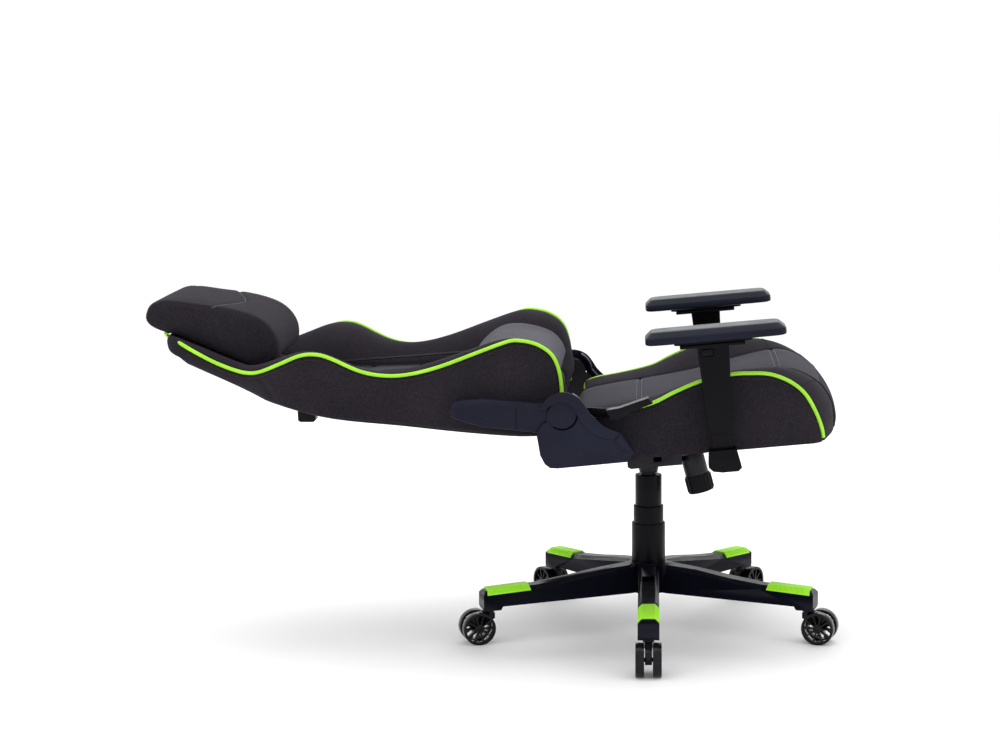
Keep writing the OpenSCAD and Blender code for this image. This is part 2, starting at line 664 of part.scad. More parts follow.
star_base();
foot_grips();
caster_stems();
lift_cylinder();
cover_lower();
lift_rod();
rod_bearing();
cover_middle();
cover_upper();
lift_piston();
valve_pin();
tilt_housing();
tilt_spring();
tilt_pin();
tension_knob();
height_lever();
seat_plate();
seat_frame();
seat_webbing();
mounting_bolts();
seat_cushion();
seat_bolster_left();
seat_bolster_right();
hinge_plates();
pivot_pins();
side_cover_left();
side_cover_right();
recline_lever();
recline_springs();
recline_arms();
bracket_cover_left();
bracket_cover_right();
back_frame();
back_shell();
back_cushion();
back_bolster_left();
back_bolster_right();
head_pillow();
lumbar_pillow();
pillow_straps();
strap_buckles();
arm_brackets();
arm_boots();
arm_posts();
arm_sleeve_left();
arm_sleeve_right();
arm_button_left();
arm_button_right();
arm_pad_left();
arm_pad_right();
caster_fork_1();
caster_fork_2();
caster_fork_3();
caster_fork_4();
caster_fork_5();
caster_wheels_1();
caster_wheels_2();
caster_wheels_3();
caster_wheels_4();
caster_wheels_5();
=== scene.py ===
import bpy
import bmesh
import json
import math
import numpy as np
from mathutils import Matrix, Vector, kdtree
from mathutils.bvhtree import BVHTree

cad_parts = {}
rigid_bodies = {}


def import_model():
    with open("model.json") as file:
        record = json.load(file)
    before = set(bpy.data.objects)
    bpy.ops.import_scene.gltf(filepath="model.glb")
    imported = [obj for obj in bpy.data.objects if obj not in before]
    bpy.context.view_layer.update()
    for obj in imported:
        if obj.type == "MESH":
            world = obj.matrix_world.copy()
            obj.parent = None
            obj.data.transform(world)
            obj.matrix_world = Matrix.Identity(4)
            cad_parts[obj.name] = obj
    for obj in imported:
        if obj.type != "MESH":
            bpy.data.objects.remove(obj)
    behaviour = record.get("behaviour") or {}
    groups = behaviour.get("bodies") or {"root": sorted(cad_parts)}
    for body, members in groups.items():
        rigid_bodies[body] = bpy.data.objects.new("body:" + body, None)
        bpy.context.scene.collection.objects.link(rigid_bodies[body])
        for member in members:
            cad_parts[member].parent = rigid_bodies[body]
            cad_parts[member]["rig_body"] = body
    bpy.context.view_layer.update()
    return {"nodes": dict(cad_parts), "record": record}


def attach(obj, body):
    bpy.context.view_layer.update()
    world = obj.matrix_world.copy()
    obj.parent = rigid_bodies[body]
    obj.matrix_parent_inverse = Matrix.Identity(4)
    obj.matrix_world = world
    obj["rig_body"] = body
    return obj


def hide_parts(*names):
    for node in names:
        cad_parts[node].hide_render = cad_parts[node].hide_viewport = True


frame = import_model()
nodes = frame["nodes"]
scene = bpy.context.scene

# ---- Camera and studio ----

def linked(name, data):
    made = bpy.data.objects.new(name, data)
    scene.collection.objects.link(made)
    return made


camera = linked("camera", bpy.data.cameras.new("camera"))
camera.location = (0, -4.364, 1.133)
camera.rotation_euler = (math.radians(90 - 8.163), 0, 0)
camera.data.sensor_width = 36
camera.data.lens = 81.42
camera.data.shift_x = -0.1485
scene.camera = camera


def soft_light(name, place, target, size, power):
    data = bpy.data.lights.new(name, "AREA")
    data.shape = "RECTANGLE"
    data.size, data.size_y = size
    data.energy = power
    lamp = linked(name, data)
    lamp.location = place
    lamp.rotation_euler = (Vector(target) - Vector(place)).to_track_quat("-Z", "Y").to_euler()


soft_light("overhead", (-0.2, 0.3, 3.2), (-0.2, 0, 0), (3.6, 2.6), 42)
soft_light("left_box", (-3.0, -1.6, 1.9), (-0.3, 0, 0.45), (1.0, 2.0), 12)
soft_light("right_box", (3.0, -1.8, 1.7), (0, 0, 0.4), (1.0, 2.0), 14)
soft_light("back_box", (0.4, 3.4, 2.0), (-0.2, 0, 0.4), (3.2, 1.4), 24)
world = bpy.data.worlds.new("studio")
world.use_nodes = True
world.node_tree.nodes["Background"].inputs[0].default_value = (1, 1, 1, 1)
world.node_tree.nodes["Background"].inputs[1].default_value = 1.04
scene.world = world
scene.view_settings.view_transform = "Standard"


# ---- Shader building ----

def maths(operation, swapped=False):
    """A method of Value that adds one Math node of two terms."""
    def method(self, other):
        return self.op(operation, *((other, self) if swapped else (self, other)))
    return method


class Value:
    """A shader socket. An expression on it adds Math nodes."""

    def __init__(self, finish, socket):
        self.finish = finish
        self.socket = socket

    def op(self, operation, *terms):
        return self.finish.node("ShaderNodeMath", {"operation": operation}, dict(enumerate(terms)))

    __add__ = __radd__ = maths("ADD")
    __sub__ = maths("SUBTRACT")
    __rsub__ = maths("SUBTRACT", True)
    __mul__ = __rmul__ = maths("MULTIPLY")
    __gt__ = maths("GREATER_THAN")

    def __abs__(self):
        return self.op("ABSOLUTE", self)

    def sine(self):
        return self.op("SINE", self)

    def held(self, low=0.0, high=1.0):
        return self.finish.node("ShaderNodeClamp", {}, {"Value": self, "Min": low, "Max": high})


class Finish:
    """A procedural material with one Principled shader."""

    def __init__(self, name, **constants):
        self.material = bpy.data.materials.new(name)
        self.material.use_nodes = True
        self.tree = self.material.node_tree
        self.tree.nodes.clear()
        self.shader = self.tree.nodes.new("ShaderNodeBsdfPrincipled")
        output = self.tree.nodes.new("ShaderNodeOutputMaterial")
        self.tree.links.new(self.shader.outputs[0], output.inputs[0])
        for key, value in constants.items():
            self.shader.inputs[key.replace("_", " ")].default_value = value
        self.place = self.node("ShaderNodeTexCoord", output="Object")

    def node(self, kind, settings=None, values=None, output=0):
        made = self.tree.nodes.new(kind)
        for key, value in (settings or {}).items():
            setattr(made, key, value)
        for key, value in (values or {}).items():
            if isinstance(value, Value):
                self.tree.links.new(value.socket, made.inputs[key])
            else:
                made.inputs[key].default_value = value
        if isinstance(output, tuple):
            return [Value(self, made.outputs[name]) for name in output]
        return Value(self, made.outputs[output])

    def noise(self, scale, detail=3.0, rough=0.55, at=None):
        return self.node("ShaderNodeTexNoise", {}, {
            "Vector": at or self.place, "Scale": scale, "Detail": detail, "Roughness": rough})

    def stretched(self, factors):
        return self.node("ShaderNodeVectorMath", {"operation": "MULTIPLY"}, {
            0: self.place, 1: factors})

    def shade(self, factor, dark, light):
        return self.node("ShaderNodeMix", {"data_type": "RGBA"}, {
            "Factor": factor, 6: dark, 7: light}, output=2)

    def feed(self, key, value):
        self.tree.links.new(value.socket, self.shader.inputs[key])

    def relief(self, height, distance, strength, under=None):
        values = {"Strength": strength, "Distance": distance, "Height": height}
        if under is not None:
            values["Normal"] = under
        return self.node("ShaderNodeBump", {}, values)


def rgba(r, g, b):
    """A colour given in display numbers from 0 to 255."""
    def linear(c):
        c = c / 255
        return c / 12.92 if c <= 0.04045 else ((c + 0.055) / 1.055) ** 2.4
    return (linear(r), linear(g), linear(b), 1.0)


def woven_cloth(name, dark, light, yarn=0.0013, share=0.5):
    """Heathered plain weave. The pattern lies on whichever plane a surface faces."""
    f = Finish(name, Specular_IOR_Level=0.12, Sheen_Weight=0.05, Sheen_Roughness=0.5)
    f.shader.inputs["Sheen Tint"].default_value = rgba(190, 190, 200)
    x, y, z = f.node("ShaderNodeSeparateXYZ", {}, {0: f.place}, output=("X", "Y", "Z"))
    facing = f.node("ShaderNodeTexCoord", output="Normal")
    nx, ny = f.node("ShaderNodeSeparateXYZ", {}, {0: facing}, output=("X", "Y"))
    sideways = abs(ny) > 0.72
    upright = (abs(nx) > 0.72) * (1 - sideways)
    across = x * (1 - upright) + y * upright
    along = y * (1 - sideways) * (1 - upright) + z * sideways + z * upright
    turn = math.pi / yarn
    warp = abs((across * turn).sine())
    weft = abs((along * turn).sine())
    over = ((across * turn * 0.5).sine() * (along * turn * 0.5).sine()) > 0.0
    knots = warp * over + weft * (1 - over)
    flecks_a = f.noise(1.0, 2.0, 0.6, f.stretched((300, 1100, 1100)))
    flecks_b = f.noise(1.0, 2.0, 0.6, f.stretched((1100, 1100, 300)))
    flecks = flecks_a * over + flecks_b * (1 - over)
    cloud = f.noise(7.0, 3.0)
    tone = ((flecks - 0.5) * 1.7 + (cloud - 0.5) * 0.5 + share + (knots - 0.6) * 0.3).held()
    f.feed("Base Color", f.shade(tone, dark, light))
    f.feed("Roughness", (0.98 - tone * 0.12).held(0.7, 1.0))
    puckers = f.noise(26.0, 3.0, 0.5)
    loose = f.relief(puckers, 0.0011, 0.5)
    f.feed("Normal", f.relief(knots + flecks * 0.5, 0.00035, 0.6, loose))
    return f.material


def moulded(name, dark, light, rough=0.42, grain=900.0, depth=0.00006, coat=0.0, **more):
    """Moulded plastic with spark-eroded grain, faint flow marks and handling wear."""
    f = Finish(name, Specular_IOR_Level=0.1, Coat_Roughness=0.25, **more)
    cloud = f.noise(9.0, 4.0)
    smear = f.noise(1.0, 3.0, 0.6, f.stretched((30, 30, 110)))
    fine = f.noise(grain, 2.0, 0.6)
    f.feed("Base Color", f.shade(((cloud - 0.5) * 1.4 + 0.5).held(), dark, light))
    f.feed("Roughness", (rough + (smear - 0.5) * 0.22 + (fine - 0.5) * 0.08).held(0.08, 1.0))
    if coat:
        f.feed("Coat Weight", (coat + (cloud - 0.5) * coat).held())
    f.feed("Normal", f.relief(fine, depth, 0.5))
    return f.material


def steel(name, dark, light, rough, metallic, drawn=(60, 60, 900)):
    f = Finish(name, Specular_IOR_Level=0.3)
    lines = f.noise(1.0, 3.0, 0.6, f.stretched(drawn))
    stain = f.noise(18.0, 4.0)
    f.feed("Base Color", f.shade(((stain - 0.5) * 1.6 + 0.5).held(), dark, light))
    f.feed("Metallic", (metallic - (stain > 0.62) * 0.12 * metallic).held())
    f.feed("Roughness", (rough + (lines - 0.5) * 0.25).held(0.05, 1.0))
    f.feed("Normal", f.relief(lines, 0.00005, 0.4))
    return f.material


def webbing(name, dark, light):
    """Ribbed strap, with its rows across the length."""
    f = Finish(name, Specular_IOR_Level=0.08)
    x, y, z = f.node("ShaderNodeSeparateXYZ", {}, {0: f.place}, output=("X", "Y", "Z"))
    rows = abs((x * (math.pi / 0.0022)).sine())
    twill = abs(((x + y) * (math.pi / 0.0016)).sine())
    fuzz = f.noise(1400.0, 2.0)
    tone = (rows * 0.5 + (fuzz - 0.5) * 1.4 + 0.2).held()
    f.feed("Base Color", f.shade(tone, dark, light))
    f.feed("Roughness", (0.9 - tone * 0.15).held())
    f.feed("Normal", f.relief(rows + twill * 0.5, 0.0003, 0.7))
    return f.material


def piping_cloth(name, dark, light):
    """Coated cord with a fine diagonal weave."""
    f = Finish(name, Specular_IOR_Level=0.4, Sheen_Weight=0.05)
    x, y, z = f.node("ShaderNodeSeparateXYZ", {}, {0: f.place}, output=("X", "Y", "Z"))
    twist = abs(((x + y * 0.6 + z * 0.8) * (math.pi / 0.0018)).sine())
    grime = f.noise(30.0, 4.0)
    tone = (twist * 0.35 + (grime - 0.5) * 1.2 + 0.45).held()
    f.feed("Base Color", f.shade(tone, dark, light))
    f.feed("Roughness", (0.52 + (grime - 0.5) * 0.2).held())
    f.feed("Normal", f.relief(twist, 0.00025, 0.5))
    return f.material


charcoal = woven_cloth("charcoal_cloth", rgba(13, 10, 15), rgba(54, 49, 57), share=0.40)
panel_cloth = woven_cloth("panel_cloth", rgba(22, 22, 26), rgba(80, 80, 88), share=0.46)
grey_cloth = woven_cloth("grey_cloth", rgba(42, 41, 46), rgba(100, 99, 107), share=0.5)
lime = piping_cloth("lime_piping", rgba(126, 196, 22), rgba(168, 232, 46))
lime_grip = moulded("lime_grip", rgba(140, 218, 34), rgba(172, 240, 62), 0.5, 700.0)
cover_plastic = moulded("cover_plastic", rgba(18, 19, 31), rgba(31, 32, 48), 0.44, 1100.0, 0.00009)
pad_plastic = moulded("pad_plastic", rgba(16, 18, 28), rgba(28, 30, 44), 0.4, 1300.0, 0.0001)
sleeve_plastic = moulded("sleeve_plastic", rgba(3, 3, 6), rgba(8, 8, 13), 0.34, 1000.0)
knob_plastic = moulded("knob_plastic", rgba(7, 7, 11), rgba(16, 16, 22), 0.36, 900.0)
base_plastic = moulded("base_plastic", rgba(9, 10, 18), rgba(20, 21, 33), 0.34, 800.0, 0.00007)
castor_plastic = moulded("castor_plastic", rgba(5, 5, 8), rgba(14, 14, 19), 0.22, 600.0,
                         0.00003, coat=0.2)
dark_steel = steel("dark_steel", rgba(14, 14, 18), rgba(30, 30, 36), 0.42, 0.3)
bright = steel("bright_steel", rgba(150, 152, 158), rgba(196, 198, 204), 0.26, 1.0)
strap_black = webbing("strap_black", rgba(5, 5, 6), rgba(26, 26, 30))
thread = piping_cloth("thread", rgba(24, 22, 26), rgba(44, 42, 46))
pale_thread = piping_cloth("pale_thread", rgba(84, 88, 92), rgba(124, 130, 132))


# ---- Curves and shapes ----

def mm(points):
    return np.array(points, float) / 1000


def smooth(points, steps=4, closed=False):
    """Catmull-Rom curve through the points."""
    p = np.array(points, float)
    n = len(p)
    out = []
    for i in range(n if closed else n - 1):
        if closed:
            a, b, c, d = p[i - 1], p[i], p[(i + 1) % n], p[(i + 2) % n]
        else:
            a, b, c, d = p[max(i - 1, 0)], p[i], p[i + 1], p[min(i + 2, n - 1)]
        for k in range(steps):
            t = k / steps
            out.append(0.5 * (2 * b + (c - a) * t + (2 * a - 5 * b + 4 * c - d) * t * t
                              + (3 * b - a - 3 * c + d) * t ** 3))
    if not closed:
        out.append(p[-1])
    return np.array(out)


def even(points, count, closed=False):
    """The same line with count points, an equal distance apart."""
    p = np.vstack([points, points[:1]]) if closed else np.array(points, float)
    run = np.concatenate([[0], np.cumsum(np.linalg.norm(np.diff(p, axis=0), axis=1))])
    at = np.linspace(0, run[-1], count + 1)[:-1] if closed else np.linspace(0, run[-1], count)
    return np.array([np.interp(at, run, p[:, k]) for k in range(p.shape[1])]).T


def step(x, low, high):
    t = np.clip((x - low) / (high - low), 0, 1)
    return t * t * (3 - 2 * t)


RAKE = math.radians(5)
RAKE_Z = 0.33


def raked(p):
    """Points of the raked seat group, in metres, in the chair's frame."""
    p = np.array(p, float)
    c, s = math.cos(RAKE), math.sin(RAKE)
    return np.stack([p[..., 0] * c - p[..., 2] * s, p[..., 1],
                     RAKE_Z + p[..., 0] * s + p[..., 2] * c], -1)


def outward(mesh, merge=0.0):
    """Turns every face outwards, after merging points closer than merge."""
    bm = bmesh.new()
    bm.from_mesh(mesh)
    if merge:
        bmesh.ops.remove_doubles(bm, verts=bm.verts, dist=merge)
    bmesh.ops.recalc_face_normals(bm, faces=bm.faces)
    bm.to_mesh(mesh)
    bm.free()


def as_object(name, mesh, material):
    mesh.materials.clear()
    mesh.materials.append(material)
    return linked(name, mesh)


def mesh_piece(name, points, faces, material, sharp=0.7):
    mesh = bpy.data.meshes.new(name)
    mesh.from_pydata([tuple(p) for p in points], [], [tuple(int(i) for i in f) for f in faces])
    outward(mesh, 2e-5)
    mesh.shade_smooth()
    mesh.set_sharp_from_angle(angle=sharp)
    return as_object(name, mesh, material)


def grid_faces(rows, cols, closed_cols=True):
    """Four-sided faces over a grid of points that is stored row by row."""
    out = []
    for i in range(rows - 1):
        for j in range(cols if closed_cols else cols - 1):
            a, b = i * cols + j, i * cols + (j + 1) % cols
            c = (i + 1) * cols
            out.append((a, b, c + (j + 1) % cols, c + j))
    return out


def loft(name, rings, material, sharp=0.7):
    """Closed form through rings of equal length, with a fan over each end."""
    rings = np.array(rings, float)
    rows, cols = rings.shape[:2]
    points = list(rings.reshape(-1, 3))
    faces = grid_faces(rows, cols)
    for row in (0, rows - 1):
        points.append(rings[row].mean(0))
        faces += [(row * cols + j, row * cols + (j + 1) % cols, len(points) - 1)
                  for j in range(cols)]
    return mesh_piece(name, points, faces, material, sharp)


def finished(piece, *modifiers):
    """Applies the piece's modifiers and leaves a plain mesh."""
    for kind, settings in modifiers:
        made = piece.modifiers.new(kind.lower(), kind)
        for key, value in settings.items():
            setattr(made, key, value)
    bpy.context.view_layer.update()
    graph = bpy.context.evaluated_depsgraph_get()
    mesh = bpy.data.meshes.new_from_object(piece.evaluated_get(graph))
    piece.modifiers.clear()
    piece.data = mesh
    return piece


SEAM_STEP = 0.0015
SEAM_HELD = 0.002
SEAM_FREE = 0.012
SIM_FRAMES = 20


def distance_to(lines, points):
    """For each point, how far it is from the nearest of the lines."""
    lengths = [np.linalg.norm(np.diff(l, axis=0), axis=1).sum() for l in lines]
    dense = np.vstack([even(l, max(2, int(run / SEAM_STEP))) for l, run in zip(lines, lengths)])
    tree = kdtree.KDTree(len(dense))
    for i, p in enumerate(dense):
        tree.insert(p, i)
    tree.balance()
    return np.array([tree.find(p)[2] for p in points])


def places(mesh):
    co = np.zeros(len(mesh.vertices) * 3, np.float32)
    mesh.vertices.foreach_get("co", co)
    return co.reshape(-1, 3).astype(float)


def normals(mesh):
    out = np.zeros(len(mesh.vertices) * 3, np.float32)
    mesh.vertex_normals.foreach_get("vector", out)
    return out.reshape(-1, 3).astype(float)


def put(mesh, co):
    mesh.vertices.foreach_set("co", np.array(co, np.float32).ravel())
    mesh.update()


def stuffed(piece, seams, cap, pressure=4.0, pinned=None, groove=0.0025, spread=0.005, sub=1):
    """Swells a piece with a cloth simulation, holds it at its seams, and sinks the seams."""
    mesh = piece.data
    start = places(mesh)
    away = distance_to(seams, start)
    weight = 1 - step(away, SEAM_HELD, SEAM_FREE)
    if pinned is not None:
        weight = np.maximum(weight, pinned(start))
    group = piece.vertex_groups.new(name="seams")
    for i, w in enumerate(weight):
        if w > 0.001:
            group.add([i], float(w), "REPLACE")
    cloth = piece.modifiers.new("cloth", "CLOTH")
    cloth.settings.quality = 5
    cloth.settings.mass = 0.3
    cloth.settings.tension_stiffness = 8
    cloth.settings.compression_stiffness = 8
    cloth.settings.bending_stiffness = 0.4
    cloth.settings.use_pressure = True
    cloth.settings.uniform_pressure_force = pressure
    cloth.settings.vertex_group_mass = "seams"
    cloth.settings.effector_weights.gravity = 0
    cloth.collision_settings.use_collision = False
    cloth.point_cache.frame_start = 1
    cloth.point_cache.frame_end = SIM_FRAMES
    for number in range(1, SIM_FRAMES + 1):
        scene.frame_set(number)
    graph = bpy.context.evaluated_depsgraph_get()
    moved = places(piece.evaluated_get(graph).data) - start
    piece.modifiers.clear()
    piece.vertex_groups.clear()
    scene.frame_set(1)
    moved = np.nan_to_num(moved)
    length = np.linalg.norm(moved, axis=1)
    moved *= (np.tanh(length / cap) * cap / np.maximum(length, 1e-9))[:, None]
    moved *= (1 - weight)[:, None]
    put(mesh, start + moved)
    if sub:
        finished(piece, ("SUBSURF", {"levels": sub, "render_levels": sub}))
    if groove:
        mesh = piece.data
        co = places(mesh)
        near = distance_to(seams, co)
        put(mesh, co - normals(mesh) * (groove * np.exp(-(near / spread) ** 2))[:, None])
    piece.data.shade_smooth()
    piece.data.set_sharp_from_angle(angle=1.0)
    return piece


def mirrored(piece, name):
    """A copy on the other side of the chair."""
    mesh = piece.data.copy()
    mesh.name = name
    mesh.transform(Matrix.Scale(-1, 4, (0, 1, 0)))
    outward(mesh)
    return linked(name, mesh)


def mirror_y(line):
    return np.array(line) * (1, -1, 1)


def on_body(piece, body, stands_for=()):
    """Joins a piece to a moving body and hides the CAD parts that it stands for."""
    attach(piece, body)
    if stands_for:
        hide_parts(*stands_for)
    return piece


# ---- Lines made by rule: piping and stitches ----

def line_object(name, lines):
    """Curve object with one open poly spline for each line."""
    data = bpy.data.curves.new(name, "CURVE")
    data.dimensions = "3D"
    for line in lines:
        spline = data.splines.new("POLY")
        spline.points.add(len(line) - 1)
        spline.points.foreach_set("co", np.hstack([line, np.ones((len(line), 1))]).ravel())
    return linked(name, data)


class Tree:
    """A Geometry Nodes tree with named inputs."""

    def __init__(self, name, inputs):
        self.tree = bpy.data.node_groups.new(name, "GeometryNodeTree")
        self.ids = {}
        sockets = self.tree.interface
        sockets.new_socket("Geometry", in_out="INPUT", socket_type="NodeSocketGeometry")
        for label, kind in inputs:
            made = sockets.new_socket(label, in_out="INPUT", socket_type=kind)
            self.ids[label] = made.identifier
        sockets.new_socket("Geometry", in_out="OUTPUT", socket_type="NodeSocketGeometry")
        self.start = self.tree.nodes.new("NodeGroupInput")
        self.end = self.tree.nodes.new("NodeGroupOutput")

    def add(self, kind, values=None, **settings):
        made = self.tree.nodes.new(kind)
        for key, value in settings.items():
            setattr(made, key, value)
        for key, value in (values or {}).items():
            if isinstance(value, bpy.types.NodeSocket):
                self.tree.links.new(value, made.inputs[key])
            else:
                made.inputs[key].default_value = value
        return made

    def close(self, geometry):
        solid = self.add("GeometryNodeRealizeInstances", {0: geometry})
        coloured = self.add("GeometryNodeSetMaterial", {0: solid.outputs[0],
                                                        "Material": self.start.outputs["Material"]})
        self.tree.links.new(coloured.outputs[0], self.end.inputs[0])

    def run(self, piece, name, values, material):
        """Runs the tree on the piece and returns the result as a plain mesh object."""
        holder = piece.modifiers.new("rule", "NODES")
        holder.node_group = self.tree
        for label, value in {**values, "Material": material}.items():
            holder[self.ids[label]] = value
        bpy.context.view_layer.update()
        graph = bpy.context.evaluated_depsgraph_get()
        mesh = bpy.data.meshes.new_from_object(piece.evaluated_get(graph))
        mesh.name = name
        bpy.data.objects.remove(piece)
        made = linked(name, mesh)
        if not mesh.materials:
            mesh.materials.append(material)
        mesh.shade_smooth()
        return made


cord_tree = Tree("cord", [("Radius", "NodeSocketFloat"), ("Spacing", "NodeSocketFloat"),
                          ("Sides", "NodeSocketInt"), ("Material", "NodeSocketMaterial")])
given = cord_tree.start.outputs
walk = cord_tree.add("GeometryNodeResampleCurve", {
    "Curve": given["Geometry"], "Length": given["Spacing"]}, mode="LENGTH")
rim = cord_tree.add("GeometryNodeCurvePrimitiveCircle", {
    "Resolution": given["Sides"], "Radius": given["Radius"]})
body = cord_tree.add("GeometryNodeCurveToMesh", {
    "Curve": walk.outputs[0], "Profile Curve": rim.outputs[0], "Fill Caps": True})
cord_tree.close(body.outputs[0])

stitch_tree = Tree("stitches", [("Pitch", "NodeSocketFloat"), ("Thread", "NodeSocketFloat"),
                                ("Share", "NodeSocketFloat"), ("Material", "NodeSocketMaterial")])
given = stitch_tree.start.outputs
walk = stitch_tree.add("GeometryNodeResampleCurve", {
    "Curve": given["Geometry"], "Length": given["Pitch"]}, mode="LENGTH")
bead = stitch_tree.add("GeometryNodeMeshUVSphere", {"Segments": 6, "Rings": 4, "Radius": 1.0})
half = stitch_tree.add("ShaderNodeMath", {0: given["Pitch"], 1: given["Share"]},
                       operation="MULTIPLY")
size = stitch_tree.add("ShaderNodeCombineXYZ", {
    "X": given["Thread"], "Y": given["Thread"], "Z": half.outputs[0]})
tangent = stitch_tree.add("GeometryNodeInputTangent")
turned = stitch_tree.add("FunctionNodeAlignRotationToVector", {"Vector": tangent.outputs[0]},
                         axis="Z")
sewn = stitch_tree.add("GeometryNodeInstanceOnPoints", {
    "Points": walk.outputs[0], "Instance": bead.outputs[0], "Rotation": turned.outputs[0],
    "Scale": size.outputs[0]})
stitch_tree.close(sewn.outputs[0])


def cord_along(name, body, lines, radius, material, sides=10, spacing=0.006):
    piece = cord_tree.run(line_object(name, lines), name,
                          {"Radius": radius, "Spacing": spacing, "Sides": sides}, material)
    return on_body(piece, body)


def stitches(name, body, lines, material):
    piece = stitch_tree.run(line_object(name, lines), name,
                            {"Pitch": 0.006, "Thread": 0.0005, "Share": 0.36}, material)
    return on_body(piece, body)


def both_sides(lines):
    return list(lines) + [mirror_y(l) for l in lines]


def laid_on(piece, lines, lift):
    """Moves each line's points onto the nearest surface of the piece, lifted by lift."""
    surface = BVHTree.FromPolygons([v.co[:] for v in piece.data.vertices],
                                   [f.vertices[:] for f in piece.data.polygons])
    out = []
    for line in lines:
        moved = []
        for p in line:
            place, normal, _, _ = surface.find_nearest(Vector(p))
            moved.append(place + normal * lift)
        out.append(np.array(moved))
    return out


# ---- Outlines in millimetres, [x, z] ----

BACK_REAR = [[-172, 434], [-238, 430], [-349, 438], [-460, 450], [-589, 463],
             [-681, 486], [-772, 522], [-854, 557], [-890, 573], [-901, 584]]
WING_FRONT = [[-164, 442], [-161, 470], [-160, 510], [-165, 550], [-178, 580], [-205, 599],
              [-236, 606], [-259, 604], [-310, 585], [-384, 556], [-440, 541], [-486, 538],
              [-532, 547], [-587, 573], [-614, 580], [-642, 577], [-679, 561], [-720, 543],
              [-745, 539], [-772, 544], [-808, 557], [-845, 576], [-881, 596], [-905, 603]]
PANEL_FRONT = [[-171, 446], [-168, 470], [-172, 496], [-215, 516], [-270, 521], [-330, 517],
               [-400, 511], [-480, 507], [-600, 505], [-655, 509], [-690, 516], [-730, 527],
               [-772, 543], [-828, 566], [-875, 588], [-907, 601]]
BACK_PLAN = [[-155, 230], [-185, 250], [-300, 250], [-400, 236], [-480, 232], [-550, 240],
             [-620, 250], [-680, 242], [-735, 208], [-790, 192], [-850, 186], [-886, 178],
             [-902, 158], [-908, 110], [-909, 0]]
WING_TOP = [[-117, 86], [-119, 110], [-117, 135], [-95, 143], [-45, 148], [19, 158], [60, 174],
            [112, 191], [170, 199], [205, 198], [242, 193], [277, 176], [302, 152], [318, 120],
            [329, 84], [331, 58]]
SEAT_TOP = [[-118, 86], [-121, 112], [-118, 137], [-64, 146], [0, 151], [70, 157], [130, 165],
            [190, 177], [240, 185], [275, 187], [302, 179], [334, 157], [352, 130], [363, 95],
            [361, 72], [354, 58]]
SEAT_PLAN = [[-112, 240], [-90, 250], [270, 250], [312, 246], [334, 230], [350, 190],
             [360, 140], [366, 60], [367, 0]]
HEAD_LINE = [[-948, 631], [-947, 645], [-939, 659], [-921, 668], [-895, 669], [-850, 663],
             [-800, 656], [-765, 648], [-736, 637], [-716, 622], [-703, 603], [-698, 583],
             [-700, 563], [-712, 551], [-730, 545], [-749, 543], [-770, 551], [-797, 563],
             [-830, 578], [-862, 592], [-885, 601], [-916, 609], [-938, 619]]
LUMBAR_LINE = [[-338, 548], [-328, 563], [-314, 576], [-299, 586], [-283, 592], [-264, 594],
               [-240, 592], [-214, 586], [-191, 576], [-176, 561], [-168, 545], [-172, 533],
               [-240, 531], [-300, 532], [-326, 537]]
HALF_PANEL = 0.145
PIPING_R = 0.0035
WELT_R = 0.0016
back_rear = smooth(mm(BACK_REAR))
back_plan = smooth(mm(BACK_PLAN))
seat_plan = smooth(mm(SEAT_PLAN))


def wide(plan, x):
    """Half width of a plan outline at x."""
    order = np.argsort(plan[:, 0])
    return np.interp(x, plan[order, 0], plan[order, 1])


def span(a, b, count):
    t = np.linspace(0, 1, count)[:, None]
    return np.array(a)[None] * (1 - t) + np.array(b)[None] * t


def arched(start, end, ahead, outward, lift, skew):
    """Line from start to end that is arched by lift, square to the way ahead."""
    away = (end - start) / np.linalg.norm(end - start)
    out = np.cross(np.array([ahead[0], 0, ahead[1]]), away)
    out /= np.linalg.norm(out)
    if out @ np.array(outward) < 0:
        out = -out
    s = np.linspace(0, 1, 24)
    bow = lift * np.sin(np.pi * s ** skew) ** 0.9
    return span(start, end, 24) + out[None] * bow[:, None]


# ---- Backrest ----

ROWS = 190


